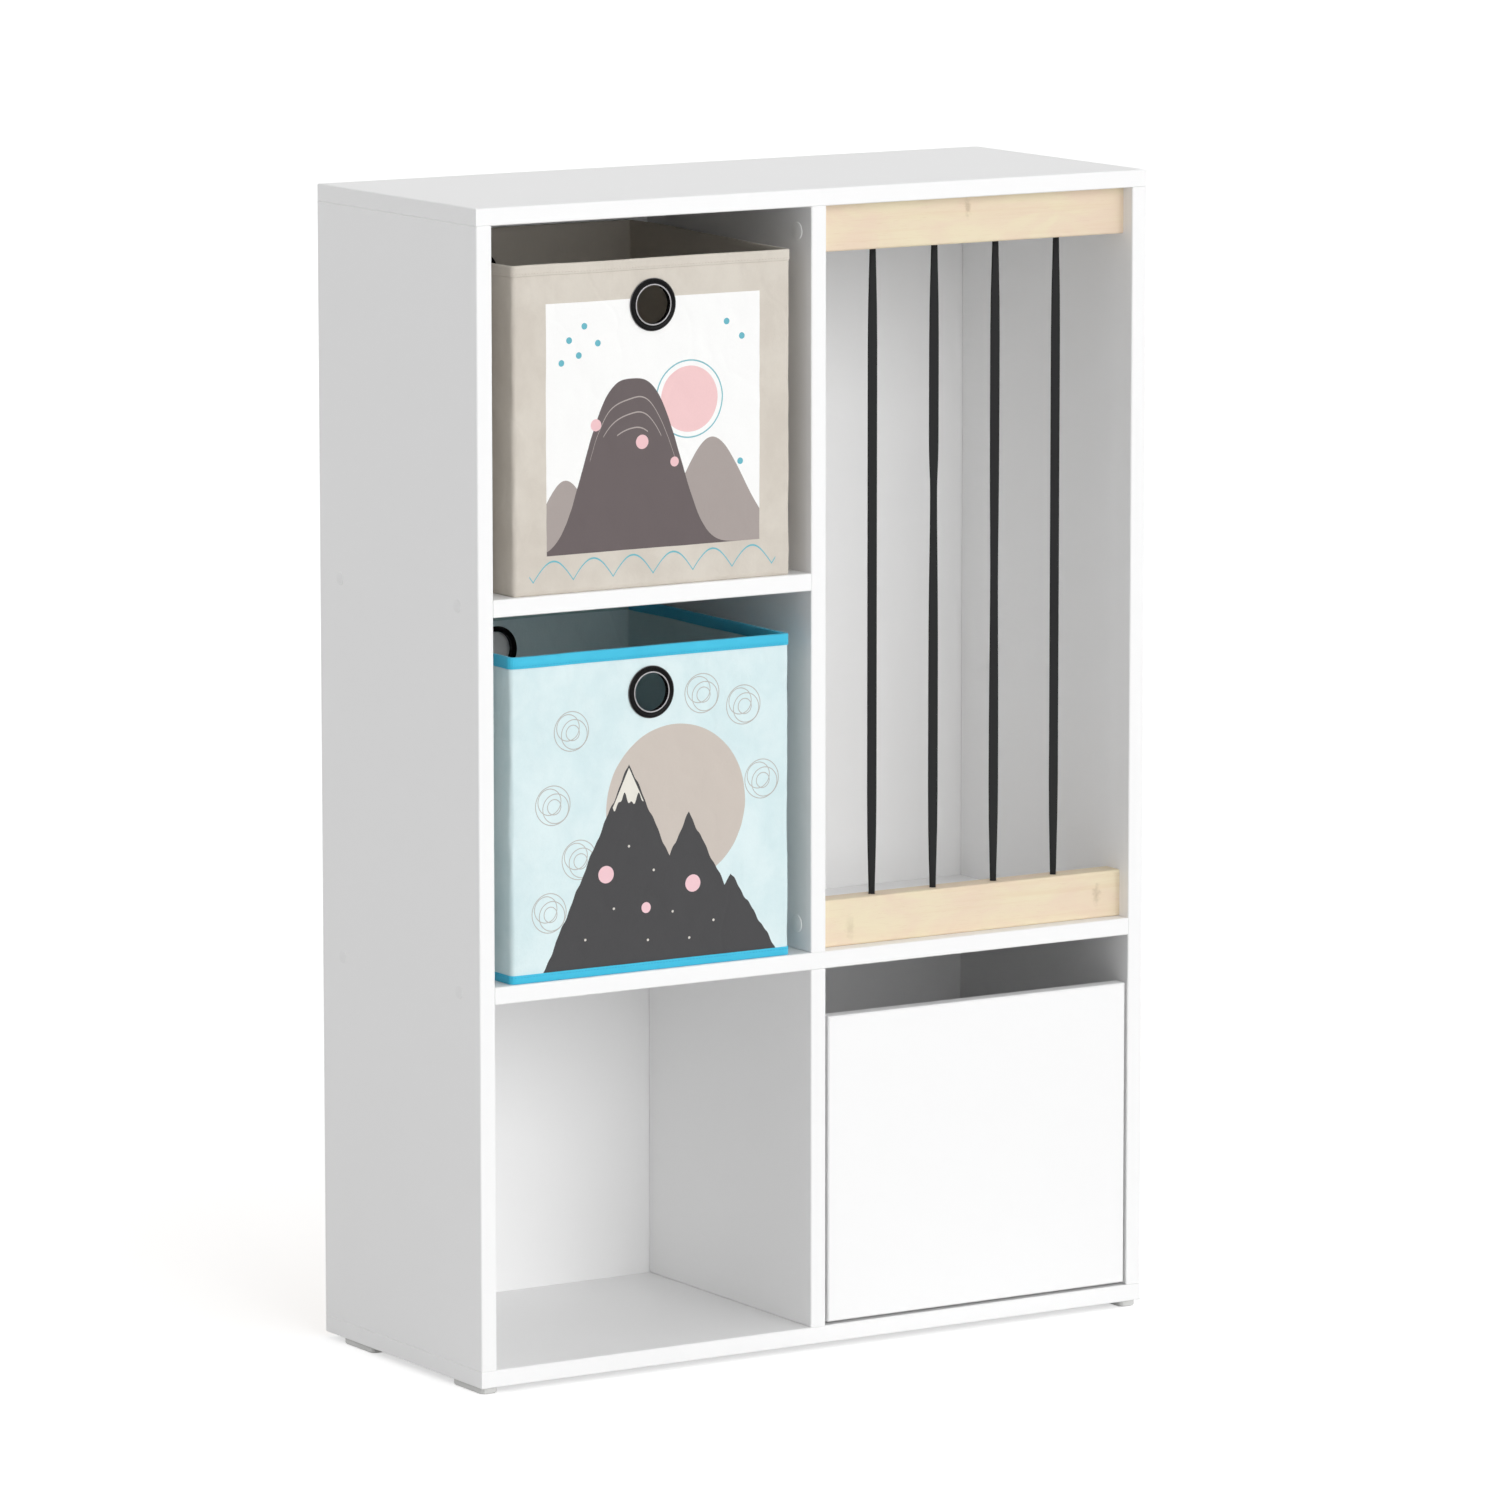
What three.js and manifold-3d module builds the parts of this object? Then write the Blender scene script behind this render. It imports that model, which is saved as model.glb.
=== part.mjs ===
// A children's shelf unit: a white two-column cabinet with two fabric boxes, a soft-toy bay behind
// elastic straps, an open bay and a drawer on roller runners. Millimetres, +Z up, front towards -Y,
// origin under the middle of the cabinet on the floor.
import * as THREE from "three";
import { mergeVertices } from "three/addons/utils/BufferGeometryUtils.js";
import Module from "manifold-3d";

const wasm = await Module();
wasm.setup();

// Cabinet boards
const clearWidth = 336;
const clearHeight = 335.5;
const sideDepth = 287;
const boardThickness = 16;
const edgeEase = 0.8;
const backThickness = 3;
const backInset = 1.5;
const sheetEase = 0.3;

// Plastic glides under the bottom panel
const footLength = 55;
const footWidth = 18;
const footHeight = 6;
const footCornerRadius = 6;
const footEase = 1;
const footSideInset = 2;
const frontFootInset = 3;
const rearFootInset = 28;
const footNailRadius = 1.7;
const footNailHeadRadius = 3.4;
const footNailHeadDepth = 2.4;
const footNailSpacing = 32;

// Capped shelf screws, through the sides into the shelf ends
const shelfScrewInset = 37;
const shelfScrewLength = 50;
const shelfScrewRadius = 3.2;
const shelfScrewHeadRadius = 4.6;
const shelfScrewHeadDepth = 4;
const shelfScrewTipLength = 4;
const capRadius = 6;
const capThickness = 0.6;

// Cam locks and their bolts, which hold the ends of the upper divider
const camInset = 24;
const camRadius = 7.2;
const camDepth = 12;
const camCoverRadius = 8.2;
const camCoverThickness = 0.9;
const camBoltRadius = 3;
const camBoltGrip = 11;
const drillClearance = 0.3;

// Wooden rails and elastic straps of the soft-toy bay
const railHeight = 44;
const railThickness = 24;
const railSetback = 15;
const railEdgeRadius = 2;
const strapCount = 4;
const strapWidth = 11;
const strapThickness = 1.6;
const strapNeckWidth = 6.2;
const strapNeckThickness = 3.6;
const strapTaperLength = 90;
const strapHoleRadius = 3.8;
const knotPocketRadius = 8.5;
const knotPocketDepth = 12;
const knotWidth = 12.4;
const knotThickness = 11;
const knotSeatGap = 0.3;
const pinchedStrap = 2;
const pinchDepth = 0.27;
const pinchHeight = 412;
const pinchSpread = 45;

// Drawer box and front
const drawerReveal = 3;
const drawerHandGap = 45.5;
const drawerFrontHeight = clearHeight - drawerReveal - drawerHandGap;
const drawerFrontThickness = 16;
const drawerFrontEase = 1.2;
const runnerSpace = 13;
const drawerRearGap = 6;
const drawerDepth = sideDepth - drawerRearGap;
const drawerWallThickness = 12;
const drawerWallDrop = 61;
const drawerLift = 18;
const drawerWallHeight = drawerReveal + drawerFrontHeight - drawerWallDrop - drawerLift;
const drawerBottomThickness = 3;
const drawerBottomRise = 8;
const grooveDepth = 5;
const grooveClearance = 0.3;

// Roller runners: a channel on the cabinet and an angle under the drawer wall
const runnerSetback = 19;
const runnerRearGap = 12;
const runnerLength = drawerDepth - runnerSetback - runnerRearGap;
const runnerSteel = 1.2;
const rollerWidth = 6;
const rollerSideGap = 0.9;
const channelLipGap = 0.5;
const channelLipHeight = 2;
const rearRollerRadius = 10;
const frontRollerRadius = 8.5;
const rollerRunGap = 0.3;
const runningFlangeGap = 1;
const frontRollerInset = 12;
const rearRollerInset = 14;
const rearRollerTail = 6;
const rollerBoreRadius = 2.25;
const rollerPinRadius = 2;
const rollerRecessRadius = 4.3;
const rollerRecessDepth = 1.4;
const rollerEase = 0.6;
const rivetHeadRadius = 3.6;
const rivetHeadThickness = 1;
const rivetGap = 0.2;
const runnerOverlap = 50;
const drawerTravel = runnerLength - runnerOverlap;
const stopNibHeight = 2;
const stopNibLength = 5.5;
const stopNibWidth = 5;
const runnerScrewRadius = 2.3;
const runnerScrewCount = 3;
const runnerScrewInset = 37;
const runningFlangeEndGap = 1.2;

// Fabric boxes
const upperBoxSideRoom = 42.5;
const lowerBoxSideRoom = 39.5;
const upperBoxRearClearance = 1.1;
const lowerBoxRearClearance = 0.9;
const boxTopRoom = 37.5;
const upperBoxWidth = clearWidth - upperBoxSideRoom;
const lowerBoxWidth = clearWidth - lowerBoxSideRoom;
const boxHeight = clearHeight - boxTopRoom;
const boxWall = 2.5;
const boxCornerRadius = 4;
const hemHeight = 10;
const hemThickness = 0.8;
const bindingThickness = 0.8;
const bindingGap = 0.3;
const topBindingHeight = 9.5;
const bottomBindingHeight = 8;
const insertThickness = 2;
const insertClearance = 1;
const upperBoxSetback = 4.5;
const upperBoxInnerGap = 19;
const lowerBoxSetback = 3;
const lowerBoxInnerGap = 20.9;

// Round plastic eyelets that serve as finger holes
const eyeletHoleRadius = 17.5;
const eyeletRimRadius = 24.1;
const eyeletBarrelRadius = 19.6;
const eyeletBackRadius = 22.4;
const eyeletRimHeight = 2.2;
const eyeletBackHeight = 1.5;
const eyeletGap = 0.25;
const frontEyeletDrop = 42.6;
const rearEyeletDrop = 38.5;
const upperRearEyeletShift = -22;
const lowerRearEyeletShift = 0;

// A box reaches from its setback to the back sheet, which its rear eyelet just clears
const upperBoxDepth = sideDepth - upperBoxSetback - upperBoxRearClearance
  - (eyeletRimHeight - hemThickness);
const lowerBoxDepth = sideDepth - lowerBoxSetback - lowerBoxRearClearance
  - (eyeletRimHeight - bindingThickness - bindingGap);

// Numbers of facets on round forms
const screwSides = 12;
const camSides = 20;
const holeSides = 14;
const rollerSides = 24;
const eyeletSides = 32;

// Places that follow from the sizes above, in the cabinet's frame
const halfWidth = clearWidth + boardThickness * 1.5;
const frontY = -(sideDepth + backThickness) / 2;
const carcassRearY = frontY + sideDepth;
const rowStep = clearHeight + boardThickness;
const floorTop = footHeight + boardThickness;
const middleShelfTop = floorTop + rowStep;
const upperShelfTop = middleShelfTop + rowStep;
const topPanelUnder = upperShelfTop + clearHeight;
const columnCentre = (clearWidth + boardThickness) / 2;
const boardHalf = boardThickness / 2;
const innerSideX = halfWidth - boardThickness;

const finishes = {
  whiteBoard: { color: 0xf3f3f2, roughness: 0.5, metalness: 0 },
  whitePlastic: { color: 0xe9e9e7, roughness: 0.4, metalness: 0 },
  greyPlastic: { color: 0xd3d3d1, roughness: 0.5, metalness: 0 },
  paleWood: { color: 0xeeddb9, roughness: 0.6, metalness: 0 },
  blackElastic: { color: 0x2a2a2c, roughness: 0.85, metalness: 0 },
  whiteSteel: { color: 0xececea, roughness: 0.35, metalness: 0.1 },
  zincSteel: { color: 0xb9bbbd, roughness: 0.35, metalness: 0.9 },
  beigeFabric: { color: 0xd8ccc2, roughness: 0.9, metalness: 0 },
  aquaFabric: { color: 0xd2e9ea, roughness: 0.9, metalness: 0 },
  blueFabric: { color: 0x36b8e6, roughness: 0.85, metalness: 0 },
  greyBoard: { color: 0x6d6764, roughness: 0.9, metalness: 0 },
  blackPlastic: { color: 0x151314, roughness: 0.2, metalness: 0 },
};

// Merges shared corners, drops triangles without area and makes the faces point outwards
function closedGeometry(geometry) {
  const bare = geometry.clone();
  bare.deleteAttribute("normal");
  bare.deleteAttribute("uv");
  const merged = mergeVertices(bare, 1e-4);
  const position = merged.attributes.position;
  const [a, b, c] = [new THREE.Vector3(), new THREE.Vector3(), new THREE.Vector3()];
  const kept = [];
  let volume = 0;
  for (let i = 0; i < merged.index.count; i += 3) {
    const corners = [merged.index.getX(i), merged.index.getX(i + 1), merged.index.getX(i + 2)];
    if (new Set(corners).size < 3) continue;
    [a, b, c].forEach((corner, k) => corner.fromBufferAttribute(position, corners[k]));
    volume += a.dot(b.cross(c));
    kept.push(corners);
  }
  const turned = volume < 0 ? kept.map(([p, q, r]) => [p, r, q]) : kept;
  merged.setIndex(turned.flat());
  merged.computeVertexNormals();
  return merged;
}

function toSolid(geometry) {
  const closed = closedGeometry(geometry);
  return new wasm.Manifold(new wasm.Mesh({
    numProp: 3,
    vertProperties: new Float32Array(closed.attributes.position.array),
    triVerts: new Uint32Array(closed.index.array),
  }));
}

function toGeometry(solid) {
  const mesh = solid.getMesh();
  const geometry = new THREE.BufferGeometry();
  geometry.setAttribute("position", new THREE.BufferAttribute(new Float32Array(mesh.vertProperties), 3));
  geometry.setIndex(new THREE.BufferAttribute(new Uint32Array(mesh.triVerts), 1));
  return closedGeometry(geometry);
}

// Turns a form that was drawn along its own z axis so that it runs along the named axis
function along(axis, geometry) {
  const [x, y, z] = [new THREE.Vector3(1, 0, 0), new THREE.Vector3(0, 1, 0), new THREE.Vector3(0, 0, 1)];
  const bases = { x: [y, z, x], y: [z, x, y], z: [x, y, z] };
  return geometry.clone().applyMatrix4(new THREE.Matrix4().makeBasis(...bases[axis]));
}

function cylinder(axis, radius, length, centre, sides = holeSides) {
  const upright = new THREE.CylinderGeometry(radius, radius, length, sides).rotateX(Math.PI / 2);
  return toSolid(along(axis, upright)).translate(centre);
}

// Revolves a profile of [radius, height] pairs about the named axis
function revolved(axis, profile, sides) {
  const points = profile.map(([radius, height]) => new THREE.Vector2(radius, height));
  return along(axis, new THREE.LatheGeometry(points, sides).rotateX(Math.PI / 2));
}

function roundedRectangle(width, depth, radius, arcSteps = 3) {
  const shape = new THREE.Shape();
  const [x, y] = [width / 2 - radius, depth / 2 - radius];
  const corners = [[x, y], [-x, y], [-x, -y], [x, -y]];
  const points = corners.flatMap(([cx, cy], quarter) => Array.from({ length: arcSteps + 1 }, (_, step) => {
    const angle = (quarter + step / arcSteps) * Math.PI / 2;
    return new THREE.Vector2(cx + radius * Math.cos(angle), cy + radius * Math.sin(angle));
  }));
  shape.setFromPoints(points);
  return shape;
}

function prism(shape, from, to) {
  return new THREE.ExtrudeGeometry(shape, { depth: to - from, bevelEnabled: false }).translate(0, 0, from);
}

// A board centred on the origin, drawn flat and turned so that its thinnest side is its thickness
function easedBoard(size, ease) {
  const thin = size.indexOf(Math.min(...size));
  const flat = [size[(thin + 1) % 3], size[(thin + 2) % 3]];
  const shape = new THREE.Shape([[1, 1], [-1, 1], [-1, -1], [1, -1]].map(
    ([sx, sy]) => new THREE.Vector2(sx * flat[0] / 2, sy * flat[1] / 2)));
  const geometry = new THREE.ExtrudeGeometry(shape, {
    depth: size[thin] - 2 * ease,
    bevelEnabled: true,
    bevelSegments: 1,
    bevelSize: ease,
    bevelThickness: ease,
    bevelOffset: -ease,
  });
  return along("xyz"[thin], geometry.translate(0, 0, ease - size[thin] / 2));
}

function piece(name, geometry, finish, place = [0, 0, 0]) {
  const mesh = new THREE.Mesh(geometry, new THREE.MeshStandardMaterial(finishes[finish]));
  mesh.name = name;
  mesh.position.set(...place);
  return mesh;
}

// A board given by its two faces on each axis, with the cutters taken out of it
function boardPiece(name, [x0, x1], [y0, y1], [z0, z1], finish, cutters = [], ease = edgeEase) {
  const centre = [(x0 + x1) / 2, (y0 + y1) / 2, (z0 + z1) / 2];
  const back = centre.map((value) => -value);
  const board = cutters.reduce(
    (solid, cutter) => solid.subtract(cutter.translate(back)),
    toSolid(easedBoard([x1 - x0, y1 - y0, z1 - z0], ease)),
  );
  return piece(name, toGeometry(board), finish, centre);
}

// Shelf screws with their cover caps, drawn with the side's outer face at height 0
function shelfScrewStem(start, grow) {
  const shank = shelfScrewRadius + grow;
  const head = shelfScrewHeadRadius + grow;
  const neck = shelfScrewHeadDepth + (shelfScrewHeadRadius - shelfScrewRadius);
  return [
    [head, start],
    [head, shelfScrewHeadDepth + grow],
    [shank, neck + grow],
    [shank, shelfScrewLength - shelfScrewTipLength + grow],
    [0, shelfScrewLength + grow],
  ];
}

const screwHeights = { upper_shelf: upperShelfTop - boardHalf, middle_shelf: middleShelfTop - boardHalf };
const screwDepths = { front: frontY + shelfScrewInset, rear: carcassRearY - shelfScrewInset };
const shelfScrews = [];
for (const [side, shelves] of [["left", ["upper_shelf", "middle_shelf"]], ["right", ["middle_shelf"]]]) {
  for (const shelf of shelves) {
    for (const [end, y] of Object.entries(screwDepths)) {
      shelfScrews.push({ side, name: `${side}_${shelf}_${end}_screw`, y, z: screwHeights[shelf] });
    }
  }
}

function shelfScrewGeometry(profile, side) {
  const geometry = revolved("x", profile, screwSides);
  return side === "left" ? geometry : closedGeometry(geometry.scale(-1, 1, 1));
}

const shelfScrewPlace = ({ side, y, z }) => [side === "left" ? -halfWidth : halfWidth, y, z];

const cappedScrewProfile = [
  [0, -capThickness],
  [capRadius - capThickness / 2, -capThickness],
  [capRadius, -capThickness / 2],
  [capRadius, 0],
  ...shelfScrewStem(0, 0),
];

const shelfScrewCutters = shelfScrews.map((screw) => toSolid(
  shelfScrewGeometry([[0, -1], ...shelfScrewStem(-1, drillClearance)], screw.side),
).translate(shelfScrewPlace(screw)));

// Cam locks sit in the upper divider's left face, each with a bolt into the board that it meets
const camLocks = [];
for (const [end, endZ, inwards] of [["top", topPanelUnder, -1], ["bottom", middleShelfTop, 1]]) {
  for (const [place, y] of [["front", frontY + camInset], ["rear", carcassRearY - camInset]]) {
    camLocks.push({ name: `divider_${end}_${place}`, y, endZ, inwards });
  }
}

const camProfile = [
  [0, -camCoverThickness],
  [camCoverRadius - camCoverThickness / 2, -camCoverThickness],
  [camCoverRadius, -camCoverThickness / 2],
  [camCoverRadius, 0],
  [camRadius, 0],
  [camRadius, camDepth],
  [0, camDepth],
];
const camPlace = ({ y, endZ, inwards }) => [-boardHalf, y, endZ + inwards * camInset];
const camBoltLength = camBoltGrip + camInset - camRadius - drillClearance;
const camBoltPlace = ({ y, endZ, inwards }) => [0, y, endZ + inwards * (camBoltLength / 2 - camBoltGrip)];
const camCutters = camLocks.flatMap((lock) => {
  const [x, y, z] = camPlace(lock);
  const [, boltY, boltZ] = camBoltPlace(lock);
  const housingDepth = camDepth + drillClearance;
  return [
    cylinder("x", camRadius + drillClearance, housingDepth + 1, [x + (housingDepth - 1) / 2, y, z], camSides),
    cylinder("z", camBoltRadius + drillClearance, camBoltLength + 2 * drillClearance, [0, boltY, boltZ]),
  ];
});
const jointCutters = [...shelfScrewCutters, ...camCutters];

// The cabinet's boards
function carcass() {
  const group = new THREE.Group();
  const depth = [frontY, carcassRearY];
  const between = (from, to) => [from, to];
  const shelfUnder = (top) => [top - boardThickness, top];
  const boards = [
    ["top_panel", between(-halfWidth, halfWidth), between(topPanelUnder, topPanelUnder + boardThickness)],
    ["bottom_panel", between(-halfWidth, halfWidth), between(footHeight, floorTop)],
    ["left_side", between(-halfWidth, -innerSideX), between(floorTop, topPanelUnder)],
    ["right_side", between(innerSideX, halfWidth), between(floorTop, topPanelUnder)],
    ["middle_shelf", between(-innerSideX, innerSideX), shelfUnder(middleShelfTop)],
    ["upper_left_shelf", between(-innerSideX, -boardHalf), shelfUnder(upperShelfTop)],
    ["upper_divider", between(-boardHalf, boardHalf), between(middleShelfTop, topPanelUnder)],
    ["lower_divider", between(-boardHalf, boardHalf), between(floorTop, middleShelfTop - boardThickness)],
  ];
  boards.forEach(([name, x, z]) => group.add(boardPiece(name, x, depth, z, "whiteBoard", jointCutters)));
  group.add(boardPiece(
    "back_panel",
    [backInset - halfWidth, halfWidth - backInset],
    [carcassRearY, carcassRearY + backThickness],
    [footHeight + backInset, topPanelUnder + boardThickness - backInset],
    "whiteBoard",
    [],
    sheetEase,
  ));
  shelfScrews.forEach((screw) => group.add(piece(
    screw.name,
    closedGeometry(shelfScrewGeometry(cappedScrewProfile, screw.side)),
    "whitePlastic",
    shelfScrewPlace(screw),
  )));
  const boltGeometry = closedGeometry(
    new THREE.CylinderGeometry(camBoltRadius, camBoltRadius, camBoltLength, screwSides).rotateX(Math.PI / 2));
  camLocks.forEach((lock) => {
    const camGeometry = closedGeometry(revolved("x", camProfile, camSides));
    group.add(piece(`${lock.name}_cam`, camGeometry, "greyPlastic", camPlace(lock)));
    group.add(piece(`${lock.name}_cam_bolt`, boltGeometry.clone(), "zincSteel", camBoltPlace(lock)));
  });
  return group;
}

// One glide, nailed up into the bottom panel through two sunk holes
function footGeometry() {
  const outline = roundedRectangle(footWidth, footLength, footCornerRadius);
  const blank = new THREE.ExtrudeGeometry(outline, {
    depth: footHeight - 2 * footEase,
    bevelEnabled: true,
    bevelSegments: 1,
    bevelSize: footEase,
    bevelThickness: footEase,
    bevelOffset: -footEase,
  }).translate(0, 0, footEase);
  const nails = [-footNailSpacing / 2, footNailSpacing / 2].flatMap((y) => [
    cylinder("z", footNailRadius, footHeight * 3, [0, y, 0]),
    cylinder("z", footNailHeadRadius, footNailHeadDepth * 2, [0, y, 0]),
  ]);
  return toGeometry(nails.reduce((solid, hole) => solid.subtract(hole), toSolid(blank)));
}

function feet() {
  const group = new THREE.Group();
  const x = halfWidth - footSideInset - footWidth / 2;
  const rows = {
    front: frontY + frontFootInset + footLength / 2,
    rear: carcassRearY - rearFootInset - footLength / 2,
  };
  for (const [row, y] of Object.entries(rows)) {
    group.add(piece(`${row}_left_foot`, footGeometry(), "greyPlastic", [-x, y, 0]));
    group.add(piece(`${row}_right_foot`, footGeometry(), "greyPlastic", [x, y, 0]));
  }
  return group;
}

// Rails across the soft-toy bay. Each strap runs through both rails to a knot in a pocket
const strapStep = clearWidth / (strapCount + 1);
const strapOffsets = Array.from({ length: strapCount }, (_, i) => (i + 1) * strapStep - clearWidth / 2);

function railGeometry(pocketSide) {
  const profile = roundedRectangle(railThickness, railHeight, railEdgeRadius);
  const blank = along("x", prism(profile, -clearWidth / 2, clearWidth / 2));
  const cutters = strapOffsets.flatMap((x) => [
    cylinder("z", strapHoleRadius, railHeight * 2, [x, 0, 0]),
    cylinder("z", knotPocketRadius, knotPocketDepth * 2, [x, 0, pocketSide * railHeight / 2]),
  ]);
  return toGeometry(cutters.reduce((solid, cutter) => solid.subtract(cutter), toSolid(blank)));
}

// A strap's width and thickness at chosen heights, from the bay's floor up to its middle
const bayHeight = topPanelUnder - middleShelfTop;
const halfStrapStations = [
  { z: 1, width: knotWidth / 2, thickness: knotThickness / 2 },
  { z: knotPocketDepth / 3, width: knotWidth, thickness: knotThickness },
  { z: knotPocketDepth - knotSeatGap, width: knotWidth, thickness: knotThickness },
  { z: knotPocketDepth - knotSeatGap / 3, width: strapNeckWidth, thickness: strapNeckThickness },
  { z: railHeight, width: strapNeckWidth, thickness: strapNeckThickness },
  ...[0.12, 0.3, 0.6, 1].map((share) => ({
    z: railHeight + share * strapTaperLength,
    width: THREE.MathUtils.lerp(strapNeckWidth, strapWidth, Math.sin(share * Math.PI / 2)),
    thickness: THREE.MathUtils.lerp(strapNeckThickness, strapThickness, Math.sqrt(share)),
  })),
];

function strapGeometry(pinched) {
  const plainFrom = railHeight + strapTaperLength;
  const plainSteps = pinched ? 16 : 4;
  const plain = Array.from({ length: plainSteps - 1 }, (_, i) => ({
    z: THREE.MathUtils.lerp(plainFrom, bayHeight - plainFrom, (i + 1) / plainSteps),
    width: strapWidth,
    thickness: strapThickness,
  }));
  const upperHalf = halfStrapStations.map((station) => ({ ...station, z: bayHeight - station.z })).reverse();
  const stations = [...halfStrapStations, ...plain, ...upperHalf];
  const half = [[1, 0.4], [0.85, 1], [-0.85, 1], [-1, 0.4]];
  const section = [...half, ...half.map(([x, y]) => [-x, -y])];
  const shape = new THREE.Shape(section.map(([x, y]) => new THREE.Vector2(x / 2, y / 2)));
  const steps = stations.length - 1;
  const geometry = new THREE.ExtrudeGeometry(shape, { depth: 1, steps, bevelEnabled: false });
  const position = geometry.attributes.position;
  for (let i = 0; i < position.count; i += 1) {
    const { z, width, thickness } = stations[Math.round(position.getZ(i) * steps)];
    const pinch = pinched ? pinchDepth * Math.exp(-(((z - pinchHeight) / pinchSpread) ** 2)) : 0;
    position.setXYZ(i, position.getX(i) * width * (1 - pinch), position.getY(i) * thickness, z);
  }
  return closedGeometry(geometry);
}

function toyBay() {
  const group = new THREE.Group();
  const railY = frontY + railSetback + railThickness / 2;
  const railPlace = (z) => [columnCentre, railY, z];
  group.add(piece("upper_rail", railGeometry(1), "paleWood", railPlace(topPanelUnder - railHeight / 2)));
  group.add(piece("lower_rail", railGeometry(-1), "paleWood", railPlace(middleShelfTop + railHeight / 2)));
  strapOffsets.forEach((offset, i) => group.add(piece(
    `elastic_strap_${i + 1}`,
    strapGeometry(i + 1 === pinchedStrap),
    "blackElastic",
    [columnCentre + offset, railY, middleShelfTop],
  )));
  return group;
}

// Roller runners, drawn for the left side: x from the cabinet wall towards the drawer wall, y from the
// runner's front end, z from the upper side of the channel's lower flange
const channelHeight = 2 * (rearRollerRadius + rollerRunGap);
const rollerInnerX = runnerSteel + rollerSideGap;
const rollerOuterX = rollerInnerX + rollerWidth;
const lipInnerX = rollerOuterX + channelLipGap;
const lipOuterX = lipInnerX + runnerSteel;
const drawerWebX = runnerSpace - runnerSteel;
const flangeTop = channelHeight - runningFlangeGap;
const flangeUnder = flangeTop - runnerSteel;
const rearRollerY = runnerLength - rearRollerInset;
const rearRollerZ = rearRollerRadius + rollerRunGap;
const frontRollerZ = flangeUnder - rollerRunGap - frontRollerRadius;

function runnerProfile(points, from, to) {
  const shape = new THREE.Shape(points.map(([x, z]) => new THREE.Vector2(z, x)));
  return toSolid(along("y", prism(shape, from, to)));
}

// A riveted roller pin: a shoulder from the steel at rootX, a shaft, and a head inside the far recess
function rollerPin(rootX, y, z) {
  const towards = rootX < rollerInnerX ? 1 : -1;
  const nearFace = towards > 0 ? rollerInnerX : rollerOuterX;
  const nearFloor = nearFace + towards * (rollerRecessDepth - rivetGap);
  const farFace = towards > 0 ? rollerOuterX : rollerInnerX;
  const farFloor = farFace - towards * (rollerRecessDepth - rivetGap);
  const root = towards * (rootX - nearFloor);
  const shaft = towards * (farFloor - nearFloor);
  const profile = [
    [0, root],
    [rivetHeadRadius, root],
    [rivetHeadRadius, 0],
    [rollerPinRadius, 0],
    [rollerPinRadius, shaft],
    [rivetHeadRadius, shaft],
    [rivetHeadRadius, shaft + rivetHeadThickness],
    [0, shaft + rivetHeadThickness],
  ];
  const pin = revolved("x", profile, holeSides).scale(towards, 1, 1);
  return toSolid(pin).translate([nearFloor, y, z]);
}

function rollerGeometry(radius) {
  const face = rollerWidth / 2;
  const floor = face - rollerRecessDepth;
  return closedGeometry(revolved("x", [
    [rollerBoreRadius, -floor],
    [rollerRecessRadius, -floor],
    [rollerRecessRadius, -face],
    [radius - rollerEase, -face],
    [radius, -face + rollerEase],
    [radius, face - rollerEase],
    [radius - rollerEase, face],
    [rollerRecessRadius, face],
    [rollerRecessRadius, floor],
    [rollerBoreRadius, floor],
    [rollerBoreRadius, -floor],
  ], rollerSides));
}

function cabinetRunner() {
  const channel = runnerProfile([
    [0, -runnerSteel],
    [lipOuterX, -runnerSteel],
    [lipOuterX, channelLipHeight],
    [lipInnerX, channelLipHeight],
    [lipInnerX, 0],
    [runnerSteel, 0],
    [runnerSteel, channelHeight],
    [lipOuterX, channelHeight],
    [lipOuterX, channelHeight + runnerSteel],
    [0, channelHeight + runnerSteel],
  ], 0, runnerLength);
  const stopReach = Math.sqrt(rearRollerRadius ** 2 - (rearRollerZ - stopNibHeight) ** 2);
  const nibRear = rearRollerY - drawerTravel - stopReach - rivetGap;
  const nibLeft = (rollerInnerX + rollerOuterX - stopNibWidth) / 2;
  const nib = runnerProfile([
    [nibLeft, -runnerSteel / 2],
    [nibLeft + stopNibWidth, -runnerSteel / 2],
    [nibLeft + stopNibWidth, stopNibHeight],
    [nibLeft, stopNibHeight],
  ], nibRear - stopNibLength, nibRear);
  const screwStep = (runnerLength - 2 * runnerScrewInset) / (runnerScrewCount - 1);
  const screwHoles = Array.from({ length: runnerScrewCount }, (_, i) => cylinder(
    "x", runnerScrewRadius, runnerSteel * 4, [0, runnerScrewInset + i * screwStep, channelHeight / 2]));
  const pin = rollerPin(runnerSteel / 2, frontRollerInset, frontRollerZ);
  return screwHoles.reduce((solid, hole) => solid.subtract(hole), channel.add(nib).add(pin));
}

function drawerRunner() {
  const front = drawerFrontThickness + rollerRunGap - runnerSetback;
  const rear = rearRollerY + rearRollerTail;
  const flangeRear = rearRollerY - rearRollerRadius - runningFlangeEndGap;
  const angle = runnerProfile([
    [drawerWebX, -runnerSteel],
    [runnerSpace + drawerWallThickness, -runnerSteel],
    [runnerSpace + drawerWallThickness, 0],
    [runnerSpace, 0],
    [runnerSpace, flangeTop],
    [drawerWebX, flangeTop],
  ], front, rear);
  const flange = runnerProfile([
    [rollerInnerX + rollerRunGap, flangeUnder],
    [drawerWebX + runnerSteel / 2, flangeUnder],
    [drawerWebX + runnerSteel / 2, flangeTop],
    [rollerInnerX + rollerRunGap, flangeTop],
  ], front, flangeRear);
  return angle.add(flange).add(rollerPin(drawerWebX + runnerSteel / 2, rearRollerY, rearRollerZ));
}

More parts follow.
